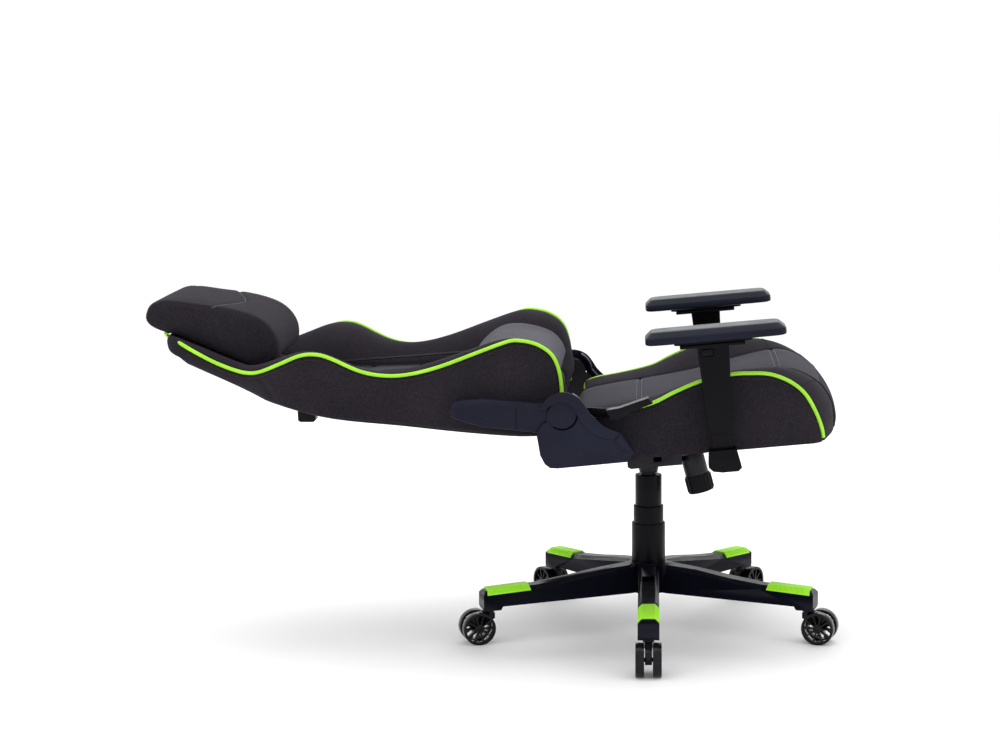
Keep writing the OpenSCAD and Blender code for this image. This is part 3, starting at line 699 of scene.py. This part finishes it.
def back_bolster():
    outer = even(smooth(mm(WING_FRONT)), ROWS)
    inner = even(smooth(mm(PANEL_FRONT)), ROWS)
    rear = even(back_rear, ROWS)
    rings = []
    edge = []
    inside = []
    for i in range(ROWS):
        w = max(wide(back_plan, outer[i, 0]), HALF_PANEL + 0.004)
        w_low = max(wide(back_plan, rear[i, 0]), HALF_PANEL + 0.004)
        o = np.array([outer[i, 0], -w, outer[i, 1]])
        n = np.array([inner[i, 0], -HALF_PANEL - 0.0005, inner[i, 1]])
        low = np.array([rear[i, 0], -w_low, rear[i, 1]])
        raise_in = 0.0108 * step(-rear[i, 0], 0.172, 0.2) * (1 - step(-rear[i, 0], 0.69, 0.72))
        low_in = np.array([rear[i, 0], -min(0.207, w_low - 0.008), rear[i, 1]])
        high_in = low_in + (0, 0, raise_in)
        deep = np.array([rear[i, 0], -HALF_PANEL - 0.0005, rear[i, 1] + raise_in])
        side = span(low, o, 20)
        fade = step(-outer[i, 0], 0.36, 0.46)
        bow = 4 * np.linspace(0, 1, 20) * (1 - np.linspace(0, 1, 20))
        side[:, 1] -= 0.0035 * bow * fade
        ahead = outer[min(i + 1, ROWS - 1)] - outer[max(i - 1, 0)]
        lift = 0.013 + 0.17 * abs(o[2] - n[2])
        lift *= step(i, -1, 14) * (1 - 0.55 * step(i, ROWS - 22, ROWS - 1))
        over = arched(o, n, ahead, (0.25, 0, 1), lift, 0.8)
        ring = np.vstack([side[:-1], over[:-1], span(n, deep, 5)[:-1], span(deep, high_in, 5)[:-1],
                          span(high_in, low_in, 3)[:-1], span(low_in, low, 5)[:-1]])
        rings.append(ring)
        edge.append(o)
        inside.append(n)
    return np.array(rings), np.array(edge), np.array(inside)


def hinge_side(p):
    """Full hold on what lies behind the covers and inside the backrest."""
    inner = (p[:, 1] > -0.1462) | (p[:, 2] < np.interp(p[:, 0], back_rear[::-1, 0],
                                                     back_rear[::-1, 1]) + 0.0125)
    covered = (p[:, 1] < -0.235) & (p[:, 0] > -0.375) & (p[:, 2] < 0.515)
    return np.where(inner | covered, 1.0, 0.0)


rings, back_edge, back_inside = back_bolster()
back_right = loft("back_bolster_right_cover", rings, charcoal)
side_seam = laid_on(back_right, [span((-0.737, -0.24, 0.536), (-0.700, -0.25, 0.494), 30)], 0.0)
stuffed(back_right, [back_edge, back_inside] + side_seam, 0.005, 3.0, hinge_side)


def box_cutter(name, low, high):
    """Plain block that only cuts a hollow, and is then removed."""
    low, high = mm([low])[0], mm([high])[0]
    corners = [(x, y, z) for x in (low[0], high[0]) for y in (low[1], high[1])
               for z in (low[2], high[2])]
    return mesh_piece(name, corners, [(0, 1, 3, 2), (4, 6, 7, 5), (0, 4, 5, 1), (2, 3, 7, 6),
                                      (0, 2, 6, 4), (1, 5, 7, 3)], charcoal)


def hollowed(piece, boxes):
    for number, (low, high) in enumerate(boxes):
        cutter = box_cutter(f"cutter_{number}", low, high)
        finished(piece, ("BOOLEAN", {"operation": "DIFFERENCE", "solver": "EXACT",
                                     "object": cutter}))
        bpy.data.objects.remove(cutter)
    piece.data.shade_smooth()
    piece.data.set_sharp_from_angle(angle=0.9)
    return piece


hollowed(back_right, [((-346, -207, 400), (-236, -146.5, 498)),
                      ((-333, -256, 457.5), (-249, -200, 490.5))])
back_left = mirrored(back_right, "back_bolster_left_cover")
on_body(back_right, "backrest", ["back_bolster_right"])
on_body(back_left, "backrest", ["back_bolster_left"])


def middle_panel(name, front, under, half, crown, material, rows=170, cols=64):
    """Panel between the bolsters, lofted from one end to the other."""
    rings = []
    left = []
    for i in range(rows):
        h = half(front[i, 0])
        y = np.linspace(-h, h, cols)
        across = np.abs(y / h)
        bulge = crown * (1 - across ** 2.4) * step(i, -1, 12) * (1 - step(i, rows - 12, rows))
        ahead = front[min(i + 1, rows - 1)] - front[max(i - 1, 0)]
        out = np.array([-ahead[1], 0, ahead[0]]) / np.linalg.norm(ahead)
        if out[2] < 0 and abs(out[2]) > abs(out[0]):
            out = -out
        top = np.stack([np.full(cols, front[i, 0]), y, np.full(cols, front[i, 1])], -1)
        top += out[None] * bulge[:, None]
        a = np.array([under[i, 0], h, under[i, 1]])
        b = np.array([under[i, 0], -h, under[i, 1]])
        rings.append(np.vstack([top[:-1], span(top[-1], a, 6)[:-1], span(a, b, 24)[:-1],
                                span(b, top[0], 6)[:-1]]))
        left.append(top[-1])
    left = np.array(left)
    return loft(name, rings, material), left


front = even(smooth(mm(PANEL_FRONT)), 170)
under = even(back_rear, 170) + (0, 0.0108)
under[-1] = front[-1] - (0.0, 0.008)
back_panel, panel_edge = middle_panel(
    "back_panel_cover", front, under,
    lambda x: HALF_PANEL - 0.0006, 0.007, panel_cloth)


def across_line(line, x, half, count=60):
    """A line from side to side over a panel whose edge line is given."""
    order = np.argsort(line[:, 0])
    z = np.interp(x, line[order, 0], line[order, 2])
    return np.stack([np.full(count, x), np.linspace(-half, half, count),
                     np.full(count, z)], -1)


def panel_hold(p):
    return np.where((np.abs(p[:, 1]) > 0.1425) | (p[:, 2] < np.interp(
        p[:, 0], back_rear[::-1, 0], back_rear[::-1, 1]) + 0.014), 1.0, 0.0)


back_lines = laid_on(back_panel, [across_line(panel_edge, x, 0.144)
                                  for x in (-0.352, -0.452, -0.552, -0.652)], 0.0)
stuffed(back_panel, back_lines + [panel_edge, mirror_y(panel_edge)], 0.009, 4.0, panel_hold)
on_body(back_panel, "backrest", ["back_cushion"])


# Rear cover: a curved sheet that rises at its rim to meet the bolsters
def rear_cover():
    rows = 120
    cols = 66
    line = even(back_rear, 400)
    line = line[(line[:, 0] < -0.176) & (line[:, 0] > -0.884)]
    line = even(line, rows)
    top = []
    roof = []
    for i, (x, z) in enumerate(line):
        half = min(wide(back_plan, x) - 0.014, 0.2055)
        y = np.linspace(-half, half, cols)
        rim = np.minimum(1, (1 - np.abs(y / half)) * half / 0.02)
        end = min(1, i / 3, (rows - 1 - i) / 3)
        depth = np.sqrt(rim) * math.sqrt(end)
        low = z - 0.0012 - 0.0118 * depth
        high = z - 0.0003 - 0.0088 * depth
        top.append(np.stack([np.full(cols, x), y, low], -1))
        roof.append(high)
    top = np.array(top)
    lower = top.reshape(-1, 3)
    upper = lower.copy()
    upper[:, 2] = np.concatenate(roof)
    count = rows * cols
    faces = grid_faces(rows, cols, closed_cols=False)
    points = np.vstack([lower, upper])
    faces += [tuple(count + k for k in reversed(f)) for f in faces]
    rim_ids = ([j for j in range(cols)] + [i * cols + cols - 1 for i in range(1, rows)]
               + [(rows - 1) * cols + j for j in range(cols - 2, -1, -1)]
               + [i * cols for i in range(rows - 2, 0, -1)])
    faces += [(a, b, b + count, a + count)
              for a, b in zip(rim_ids, rim_ids[1:] + rim_ids[:1])]
    return mesh_piece("rear_cover", points, faces, charcoal, 1.2)


rear = rear_cover()
on_body(rear, "backrest", ["back_shell"])


def head_turn(radius):
    """The piping's way round the head end, from one side to the other."""
    near = back_edge[back_edge[:, 0] > -0.872]
    near = np.stack([near[:, 0], near[:, 1] - radius * 0.4, near[:, 2] + radius * 0.3], -1)
    turn = smooth([near[-1], (-0.9085, -0.135, 0.6035), (-0.9105, -0.1, 0.6045),
                   (-0.9115, -0.05, 0.605), (-0.912, 0, 0.605)], 8)
    half = np.vstack([near[:-1], turn])
    return np.vstack([half, mirror_y(half)[::-1][1:]])


cord_along("back_piping", "backrest", [head_turn(PIPING_R - 0.0001)[4:-4]], PIPING_R, lime)
cord_along("back_panel_welt", "backrest", both_sides([back_inside[6:-6] + (0, 0, 0.0005)]),
           WELT_R, charcoal, sides=8)


def beside(line, shift, start=8, stop=-8):
    return line[start:stop] + np.array(shift)


back_rows = laid_on(back_right, [beside(back_edge, (0, 0, -0.0095), 14, -20),
                                 beside(back_edge, (0, 0.0095, 0.002), 14, -20)], 0.0001)
back_rows = [even(l, 400) for l in back_rows]
stitches("back_stitches", "backrest", both_sides(back_rows), thread)


# ---- Seat ----

def seat_bolster():
    outer = even(smooth(mm(WING_TOP)), ROWS)
    inner = even(smooth(mm(SEAT_TOP)), ROWS)
    rings = []
    edge = []
    inside = []
    for i in range(ROWS):
        t = i / (ROWS - 1)
        foot_x = -0.110 + (0.326 + 0.110) * t
        tray = 0.0852 if foot_x < -0.0455 else 0.0812 if foot_x < 0.310 else 0.0578
        hem = 0.0852 if foot_x < -0.0455 else 0.0583 if 0.115 < foot_x < 0.168 else 0.0575
        w = wide(seat_plan, outer[i, 0])
        w_low = wide(seat_plan, foot_x)
        n_x = min(inner[i, 0], 0.3585)
        o = np.array([outer[i, 0], -w, outer[i, 1]])
        n = np.array([n_x, -HALF_PANEL - 0.0005, inner[i, 1]])
        low = np.array([foot_x, -w_low, hem])
        lip = np.array([foot_x, -w_low + 0.0035, hem])
        roof = np.array([foot_x, -w_low + 0.0035, tray + 0.0003])
        deep_x = foot_x if foot_x < 0.30 else min(foot_x + (n_x - outer[i, 0]), n_x)
        deep = np.array([deep_x, -HALF_PANEL - 0.0005, tray + 0.0003])
        side = span(low, o, 18)
        hold = 1 - step(-foot_x, -0.03, 0.03)
        s = np.linspace(0, 1, 18)
        side[:, 1] -= 0.0022 * 4 * s * (1 - s) * hold
        ahead = outer[min(i + 1, ROWS - 1)] - outer[max(i - 1, 0)]
        lift = 0.008 + 0.12 * abs(o[2] - n[2])
        lift *= step(i, -1, 10) * (1 - step(i, ROWS - 14, ROWS))
        over = arched(o, n, ahead, (1, 0, 1.2), lift, 0.85)
        rings.append(np.vstack([side[:-1], over[:-1], span(n, deep, 6)[:-1],
                                span(deep, roof, 8)[:-1], span(roof, lip, 3)[:-1],
                                span(lip, low, 2)[:-1]]))
        edge.append(o)
        inside.append(n)
    return np.array(rings), np.array(edge), np.array(inside)


rings, seat_edge, seat_inside = seat_bolster()


def seat_hold(p):
    inner = (p[:, 1] > -0.1462) | (p[:, 2] < 0.083) & (p[:, 1] > -0.2475)
    low = p[:, 2] < 0.062
    covered = (p[:, 1] < -0.245) & (p[:, 0] < 0.0) & (p[:, 2] < 0.142)
    arms = (p[:, 1] < -0.245) & (p[:, 0] > 0.1) & (p[:, 0] < 0.18)
    return np.where(inner | covered | low | arms, 1.0, 0.0)


seat_right = loft("seat_bolster_right_cover", rings, charcoal)
stuffed(seat_right, [seat_edge, seat_inside], 0.004, 3.0, seat_hold)
nose_seam = smooth([(0.280, -0.2515, 0.156), (0.305, -0.21, 0.160), (0.322, -0.172, 0.159),
                    (0.334, -0.1455, 0.1555)], 12)
crest_seam = span((0.244, -0.25, 0.1935), (0.262, -0.1455, 0.184), 40)


def two_cloths(piece, side):
    """Pale cloth ahead of the crest seam and above the nose seam."""
    piece.data.materials.append(panel_cloth)
    piece.data.materials.append(charcoal)
    for face in piece.data.polygons:
        x, y, z = face.center
        y *= -side
        skin = abs(face.normal[1]) < 0.8 and y < -0.1455
        ahead = x > np.interp(-y, (0.1455, 0.25), (0.262, 0.244))
        above = z > np.interp(-y, (0, 0.1455, 0.172, 0.21, 0.2515),
                              (0.153, 0.1555, 0.159, 0.160, 0.156))
        pale = side == 0 and (x < 0.3 or above) or side != 0 and skin and ahead and above
        face.material_index = 1 if pale else 2 if side == 0 else 0


two_cloths(seat_right, 1)
laid_nose = laid_on(seat_right, [nose_seam, crest_seam], 0.0001)
put(seat_right.data, raked(places(seat_right.data)))
seat_left = mirrored(seat_right, "seat_bolster_left_cover")
on_body(seat_right, "seat", ["seat_bolster_right"])
on_body(seat_left, "seat", ["seat_bolster_left"])

front = even(smooth(mm(SEAT_TOP)), 170)
foot = np.linspace(-0.110, 0.350, 170)
under = np.stack([foot, np.where(foot < 0.314, 0.0812, 0.0578)], -1)
front[:, 1] = np.maximum(front[:, 1], under[:, 1] + 0.001)
seat_panel, panel_edge = middle_panel(
    "seat_panel_cover", front, under, lambda x: HALF_PANEL - 0.0006, 0.006, panel_cloth)


def tray_hold(p):
    return np.where((np.abs(p[:, 1]) > 0.1425) | (p[:, 2] < 0.083) & (p[:, 0] < 0.33)
                    | (p[:, 2] < 0.061), 1.0, 0.0)


seat_lines = laid_on(seat_panel, [across_line(panel_edge[:140], x, 0.144)
                                  for x in (-0.004, 0.262)], 0.0)
stuffed(seat_panel, seat_lines + [panel_edge, mirror_y(panel_edge)], 0.008, 4.0, tray_hold)
seat_rows = laid_on(seat_panel, [l + (dx, 0, 0) for l in seat_lines
                                 for dx in (-0.0045, 0.0045)], 0.0001)
two_cloths(seat_panel, 0)
nose = laid_on(seat_panel, [[(0.340, y, 0.154) for y in np.linspace(-0.144, 0.144, 120)]], 0.0001)
put(seat_panel.data, raked(places(seat_panel.data)))
on_body(seat_panel, "seat", ["seat_cushion"])

seat_line = seat_edge[6:-2] + (0, -0.0012, 0.0012)
cord_along("seat_piping", "seat", both_sides([raked(seat_line)]), PIPING_R, lime)
cord_along("seat_panel_welt", "seat", both_sides([raked(seat_inside[6:-4])]), WELT_R, charcoal,
           sides=8)
rows = laid_on(seat_right, [raked(beside(seat_edge, (0, 0, -0.0095), 30, -12)),
                            raked(beside(seat_edge, (0, 0.0095, 0.002), 30, -12))], 0.0001)
rows = [even(l, 220) for l in rows]
stitches("seat_stitches", "seat", both_sides(rows), thread)
stitches("seat_cross_stitches", "seat", [raked(l) for l in seat_rows], pale_thread)
nose_lines = both_sides([raked(even(l, 160)) for l in laid_nose])
cord_along("seat_nose_seam", "seat", nose_lines + [raked(even(nose[0], 120))], 0.0009, charcoal,
           sides=8)


# ---- Pillows ----

def pillow(name, outline, half, shrink, round_r, material):
    """Filled form between two end panels. Returns the piece and its end seams."""
    loop = even(smooth(mm(outline), 6, closed=True), 132, closed=True)
    middle = loop.mean(0)
    ys = np.concatenate([np.linspace(-half, -half + round_r, 9),
                         np.linspace(-half + round_r, half - round_r, 44)[1:-1],
                         np.linspace(half - round_r, half, 9)])
    rings = []
    for y in ys:
        near = max(0, (abs(y) - (half - round_r)) / round_r)
        scale = 1 - shrink * (1 - math.sqrt(max(0, 1 - near * near)))
        ring = middle + (loop - middle) * scale
        rings.append(np.stack([ring[:, 0], np.full(len(ring), y), ring[:, 1]], -1))
    seams = [rings[0].copy(), rings[-1].copy()]
    for side, at in ((-1, 0), (1, -1)):
        base = rings[at]
        extra = []
        for k in range(1, 13):
            r = 1 - k / 13
            c = base.mean(0)
            ring = c + (base - c) * r
            ring[:, 1] = base[0, 1] + side * 0.006 * (1 - r * r)
            extra.append(ring)
        rings = extra[::-1] + rings if side < 0 else rings + extra
    piece = loft(name, rings, material, 1.0)
    return piece, [np.vstack([s, s[:1]]) for s in seams]


head, head_seams = pillow("head_pillow_cover", HEAD_LINE, 0.1405, 0.09, 0.022, charcoal)
ARCH = [[-819, -140], [-812, -118], [-803, -85], [-789, -45], [-780, 0]]
arch = smooth([(x / 1000, y / 1000, 0.66) for x, y in ARCH], 12)
arch = np.vstack([arch, mirror_y(arch)[::-1][1:]])
head_arch = laid_on(head, [arch], 0.0)
stuffed(head, head_seams + head_arch, 0.006, 3.0, None, 0.0022, 0.0045)
on_body(head, "head_pillow", ["head_pillow"])
head_rows = laid_on(head, [even(head_arch[0], 260)], 0.0001)
stitches("head_pillow_stitches", "head_pillow", head_rows, pale_thread)
end_rows = laid_on(head, [even(l * (1, 0.9, 1), 500) for l in head_seams], 0.0001)
stitches("head_pillow_end_stitches", "head_pillow", end_rows, thread)
lumbar, lumbar_seams = pillow("lumbar_pillow_cover", LUMBAR_LINE, 0.1405, 0.10, 0.02, grey_cloth)


def flat_under(p):
    return np.where(p[:, 2] < 0.537, 1.0, 0.0)


stuffed(lumbar, lumbar_seams, 0.005, 3.0, flat_under, 0.002, 0.0045)
on_body(lumbar, "lumbar_pillow", ["lumbar_pillow"])


# ---- Hard pieces ----

slots = {part["node"]: part["material_slot"] for part in frame["record"]["subparts"]}


def merged_copy(node):
    """Copy of a CAD node's mesh with whole flat faces."""
    bm = bmesh.new()
    bm.from_mesh(nodes[node].data)
    bmesh.ops.remove_doubles(bm, verts=bm.verts, dist=1.2e-5)
    bmesh.ops.dissolve_limit(bm, angle_limit=math.radians(0.8), verts=bm.verts, edges=bm.edges)
    return bm


def stand_in(piece, node):
    """Puts the piece in the place of a CAD part."""
    return on_body(piece, nodes[node]["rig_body"], [node])


def softened(node, width, material, segments=2, angle=28):
    """A CAD part with its edges rounded."""
    bm = merged_copy(node)
    mesh = bpy.data.meshes.new(node + "_rounded")
    bm.to_mesh(mesh)
    bm.free()
    piece = as_object(node + "_rounded", mesh, material)
    finished(piece, ("BEVEL", {"width": width, "segments": segments, "limit_method": "ANGLE",
                               "angle_limit": math.radians(angle), "miter_outer": "MITER_ARC"}))
    piece.data.shade_smooth()
    piece.data.set_sharp_from_angle(angle=0.55)
    return stand_in(piece, node)


PIVOT_X = -0.1573
PIVOT_Z = 0.4759
ARM_Y = 0.272
RIM_POINTS = 90
RIM_OUTER = [[-198, 487], [-188, 500], [-179, 509], [-166, 516], [-155, 518.5], [-139, 515],
             [-125, 506], [-114, 491], [-107, 480], [-94, 467], [-79, 454], [-57, 445], [-50, 441]]
RIM_INNER = [[-188, 483], [-183, 489], [-177, 493], [-168, 496.5], [-158, 498], [-147, 495.5],
             [-137, 487], [-131, 476], [-125, 465], [-112, 449], [-94, 436], [-76, 431], [-62, 429]]


def cover_rim(side):
    """Raised band along the top and front of a side cover, and the facet at its foot."""
    outer = even(smooth(mm(RIM_OUTER)), RIM_POINTS)
    inner = even(smooth(mm(RIM_INNER)), RIM_POINTS)
    rings = []
    for i, (o, n) in enumerate(zip(outer, inner)):
        t = [0.02, 0.02, 0.06, 0.16, 0.5, 0.84, 0.94, 0.99, 0.99]
        y = [0.2950, 0.2974, 0.2986, 0.2992, 0.2994, 0.2990, 0.2982, 0.2970, 0.2950]
        end = min(1.0, i / 4 + 0.35, (RIM_POINTS - 1 - i) / 4 + 0.35)
        ring = []
        for share, depth in zip(t, y):
            q = o * (1 - share) + n * share
            ring.append((q[0], side * (0.2950 + (depth - 0.2950) * end), q[1]))
        rings.append(ring)
    name = "left" if side > 0 else "right"
    band = loft(f"side_cover_rim_{name}", rings, cover_plastic, 0.8)
    top = [(-60, 429.5), (-51, 440.5), (-28, 408.5), (-48, 411.5)]
    low = [(-63, 427.5), (-51.5, 442), (-26.8, 408), (-50, 409)]
    points = [(x / 1000, side * 0.2952, z / 1000) for x, z in low]
    points += [(x / 1000, side * 0.2987, z / 1000) for x, z in top]
    facet = mesh_piece(f"side_cover_facet_{name}", points,
                       [(0, 1, 2, 3), (4, 5, 6, 7), (0, 1, 5, 4), (1, 2, 6, 5), (2, 3, 7, 6),
                        (3, 0, 4, 7)], cover_plastic, 0.4)
    finished(facet, ("BEVEL", {"width": 0.0007, "segments": 2}))
    for piece in (band, facet):
        on_body(piece, "seat")


BAR = [(-361, 491, 487, 472, 4), (-354, 498, 487.5, 467, 0.5), (-330, 501, 491.5, 459.5, 0),
       (-305, 503, 495, 452, 0), (-242, 498.5, 488, 446, 0), (-205, 494.5, 482, 441.5, 0),
       (-184, 495, 484, 444, 0), (-168, 499, 488, 446.5, 0)]


def bracket_bar(side):
    """Faceted cover of the recline arm, its hub, a screw boss and a parting line; the parting line
    is painted shade of its groove, a near-black cord.
    """
    rings = []
    for x, top, front, low, back in BAR:
        y = [0.2506 if x < -340 else 0.2648, 0.2842 - back / 1000, 0.2899 - back / 1000,
             0.2899 - back / 1000, 0.2875 - back / 1000, 0.2506 if x < -340 else 0.2648]
        z = [top, top, front, low + 1.5, low, low]
        rings.append([(x / 1000, side * a, b / 1000) for a, b in zip(y, z)])
    name = "left" if side > 0 else "right"
    bar = loft(f"bracket_bar_{name}", rings, cover_plastic, 0.15)
    finished(bar, ("BEVEL", {"width": 0.0008, "segments": 2, "limit_method": "ANGLE",
                             "angle_limit": math.radians(12)}))
    bar.data.set_sharp_from_angle(angle=0.3)
    turn = np.linspace(0, 2 * math.pi, 96, endpoint=False)
    rings = []
    for r, y in ((27.4, 264.8), (27.5, 291.6), (26.9, 293.2), (25.2, 294.5), (12, 294.6),
                 (2, 294.6)):
        rings.append(np.stack([PIVOT_X + r / 1000 * np.cos(turn), np.full(96, side * y / 1000),
                               PIVOT_Z + r / 1000 * np.sin(turn)], -1))
    hub = loft(f"bracket_hub_{name}", rings, cover_plastic, 0.6)
    plug = []
    for share, y in ((1.0, 289.5), (1.0, 294.7), (0.97, 294.9), (0.86, 294.9)):
        ring = np.array([(-185, 479), (-161, 480), (-148, 470), (-148, 458), (-155, 453),
                         (-185, 454)])
        ring = (-167, 467) + (ring - (-167, 467)) * share
        plug.append([(x / 1000, side * y / 1000, z / 1000) for x, z in ring])
    plug = loft(f"bracket_plug_{name}", plug, cover_plastic, 0.3)
    on_body(plug, "backrest")
    stand_in(bar, f"bracket_cover_{name}")
    on_body(hub, "backrest")
    # The parting line's groove is painted shade: a raised cord of near-black sleeve plastic on the
    # navy cover.
    cord_along(f"bracket_parting_shade_{name}", "backrest", [
        [(-0.242, side * 0.2901, z) for z in np.linspace(0.4475, 0.4875, 12)]],
        0.0005, sleeve_plastic, 6)


for end in (-1, 1):
    cover_rim(end)
    bracket_bar(end)
# Node, width of the rounding in millimetres, finish, and the settings that differ
ROUNDED = []
for side in ("left", "right"):
    ROUNDED += [("side_cover_" + side, 1.3, cover_plastic, {"segments": 3}),
                ("arm_sleeve_" + side, 1.6, sleeve_plastic, {}),
                ("arm_button_" + side, 0.8, knob_plastic, {})]
ROUNDED += [("recline_lever", 1.6, knob_plastic, {}),
            ("height_lever", 1.2, knob_plastic, {}),
            ("arm_boots", 2.5, sleeve_plastic, {"segments": 3}),
            ("arm_posts", 1.2, sleeve_plastic, {}),
            ("star_base", 2.4, base_plastic, {"segments": 3}),
            ("foot_grips", 0.7, lime_grip, {}),
            ("tilt_housing", 1.2, dark_steel, {}),
            ("seat_plate", 0.8, dark_steel, {}),
            ("strap_buckles", 0.8, knob_plastic, {})]
ROUNDED += [(name, 0.6, sleeve_plastic, {"angle": 50})
            for name in ("cover_lower", "cover_middle", "cover_upper")]
for number in range(1, 6):
    ROUNDED += [(f"caster_fork_{number}", 1.2, castor_plastic, {}),
                (f"caster_wheels_{number}", 0.6, castor_plastic, {"angle": 50})]
for node, width, material, settings in ROUNDED:
    softened(node, width / 1000, material, **settings)


def squared_ring(count, centre, half, power, z):
    """Ring in the raked frame, between an ellipse and a rectangle."""
    turn = np.linspace(0, 2 * math.pi, count, endpoint=False)
    c = np.sign(np.cos(turn)) * np.abs(np.cos(turn)) ** (2 / power[0])
    s = np.sign(np.sin(turn)) * np.abs(np.sin(turn)) ** (2 / power[1])
    return raked(np.stack([centre[0] + c * half[0], centre[1] + s * half[1],
                           np.full(count, z)], -1))


# Height in the raked frame in metres, and inset in millimetres
PAD_PROFILE = [(0.2722, 12), (0.2724, 4), (0.2732, 1.6), (0.2745, 0.4), (0.276, 0), (0.2838, 0.3),
               (0.2852, 0.9), (0.2862, 2.0), (0.2936, 9.8), (0.2948, 11.6), (0.2956, 14.5),
               (0.296, 20), (0.296, 36)]
PLATE_PROFILE = [(0.2662, 1.0), (0.2668, 0), (0.2718, 0), (0.2725, 1.0)]


def arm_pad(side):
    """Bevelled pad and the plate it slides on."""
    name = "left" if side > 0 else "right"
    y = side * ARM_Y
    shell = loft(f"arm_pad_{name}_shell", [
        squared_ring(120, (0.147, y), (0.129 - inset / 1000, 0.0458 - inset / 1000), (11, 7), z)
        for z, inset in PAD_PROFILE], pad_plastic, 0.6)
    plate = loft(f"arm_pad_{name}_plate", [
        squared_ring(64, (0.142, y), (0.072 - inset / 1000, 0.023 - inset / 1000), (9, 9), z)
        for z, inset in PLATE_PROFILE], sleeve_plastic, 0.5)
    stand_in(shell, "arm_pad_" + name)
    on_body(plate, "pad_" + name)


arm_pad(-1)
arm_pad(1)


def screw(name, centre, radius, material):
    """Domed screw head with a star socket, its axis along Y."""
    count = 36
    turn = np.linspace(0, 2 * math.pi, count, endpoint=False)
    side = -1 if centre[1] < 0 else 1
    lobes = 1 - 0.16 * np.cos(turn * 6)
    profile = [(1.0, -0.002), (1.0, 0.0), (0.94, 0.0009), (0.7, 0.0015), (0.46, 0.0017),
               (0.44, 0.0008), (0.3, 0.0002)]
    rings = []
    for k, (share, out) in enumerate(profile):
        r = radius * share * (lobes if k > 3 else np.ones(count))
        rings.append(np.stack([centre[0] + r * np.cos(turn), np.full(count, centre[1] + side * out),
                               centre[2] + r * np.sin(turn)], -1))
    return loft(name, rings, material, 0.6)


def cover_screws(side):
    name = "left" if side > 0 else "right"
    for number, (x, z) in enumerate(((-0.120, 0.084), (-0.058, 0.082))):
        p = raked((x, side * 0.2952, z))
        piece = screw(f"side_cover_screw_{name}_{number}", p, 0.0042, dark_steel)
        on_body(piece, "seat")
    piece = screw(f"bracket_screw_{name}", (-0.297, side * 0.2903, 0.470), 0.0042, dark_steel)
    on_body(piece, "backrest")


cover_screws(-1)
cover_screws(1)


def around_z(points, degrees):
    a = math.radians(degrees)
    p = np.array(points, float)
    return np.stack([p[:, 0] * math.cos(a) - p[:, 1] * math.sin(a),
                     p[:, 0] * math.sin(a) + p[:, 1] * math.cos(a), p[:, 2]], -1)


# Slanted ribs on the green foot grips
ribs = []
for k in range(5):
    for n in range(6):
        x = 0.262 + n * 0.0105
        z = lambda at: 0.1112 + (at - 0.248) * (0.1066 - 0.1112) / 0.082 + 0.0002
        for side in (-1, 1):
            line = [(x, side * 0.0122, z(x)), (x + 0.006, side * 0.0192, z(x + 0.006) - 0.007)]
            ribs.append(around_z(line, -90 + 72 * k))
cord_along("grip_ribs", "base", ribs, 0.0008, lime_grip, 8, 0.004)

finish_of = {
    "base_nylon": base_plastic, "castor_black": castor_plastic, "grip_green": lime_grip,
    "cover_black": cover_plastic, "sleeve_black": sleeve_plastic, "knob_black": knob_plastic,
    "pad_black": pad_plastic, "painted_steel": dark_steel, "bright_steel": bright,
    "fabric_dark": charcoal, "fabric_panel": panel_cloth, "fabric_grey": grey_cloth,
    "webbing_black": strap_black}
for name, part in nodes.items():
    part.data.materials.clear()
    part.data.materials.append(finish_of[slots[name]])

# ---- Floor ----

floor = mesh_piece("floor", [(-40, -40, 0), (40, -40, 0), (40, 40, 0), (-40, 40, 0)],
                   [(0, 1, 2, 3)], charcoal)
paper = Finish("paper", Specular_IOR_Level=0.2)
mottle = paper.noise(3.0, 2.0)
paper.feed("Base Color", paper.shade(mottle, rgba(250, 250, 250), rgba(254, 254, 254)))
paper.feed("Roughness", (0.75 + mottle * 0.1).held())
floor.data.materials.clear()
floor.data.materials.append(paper.material)
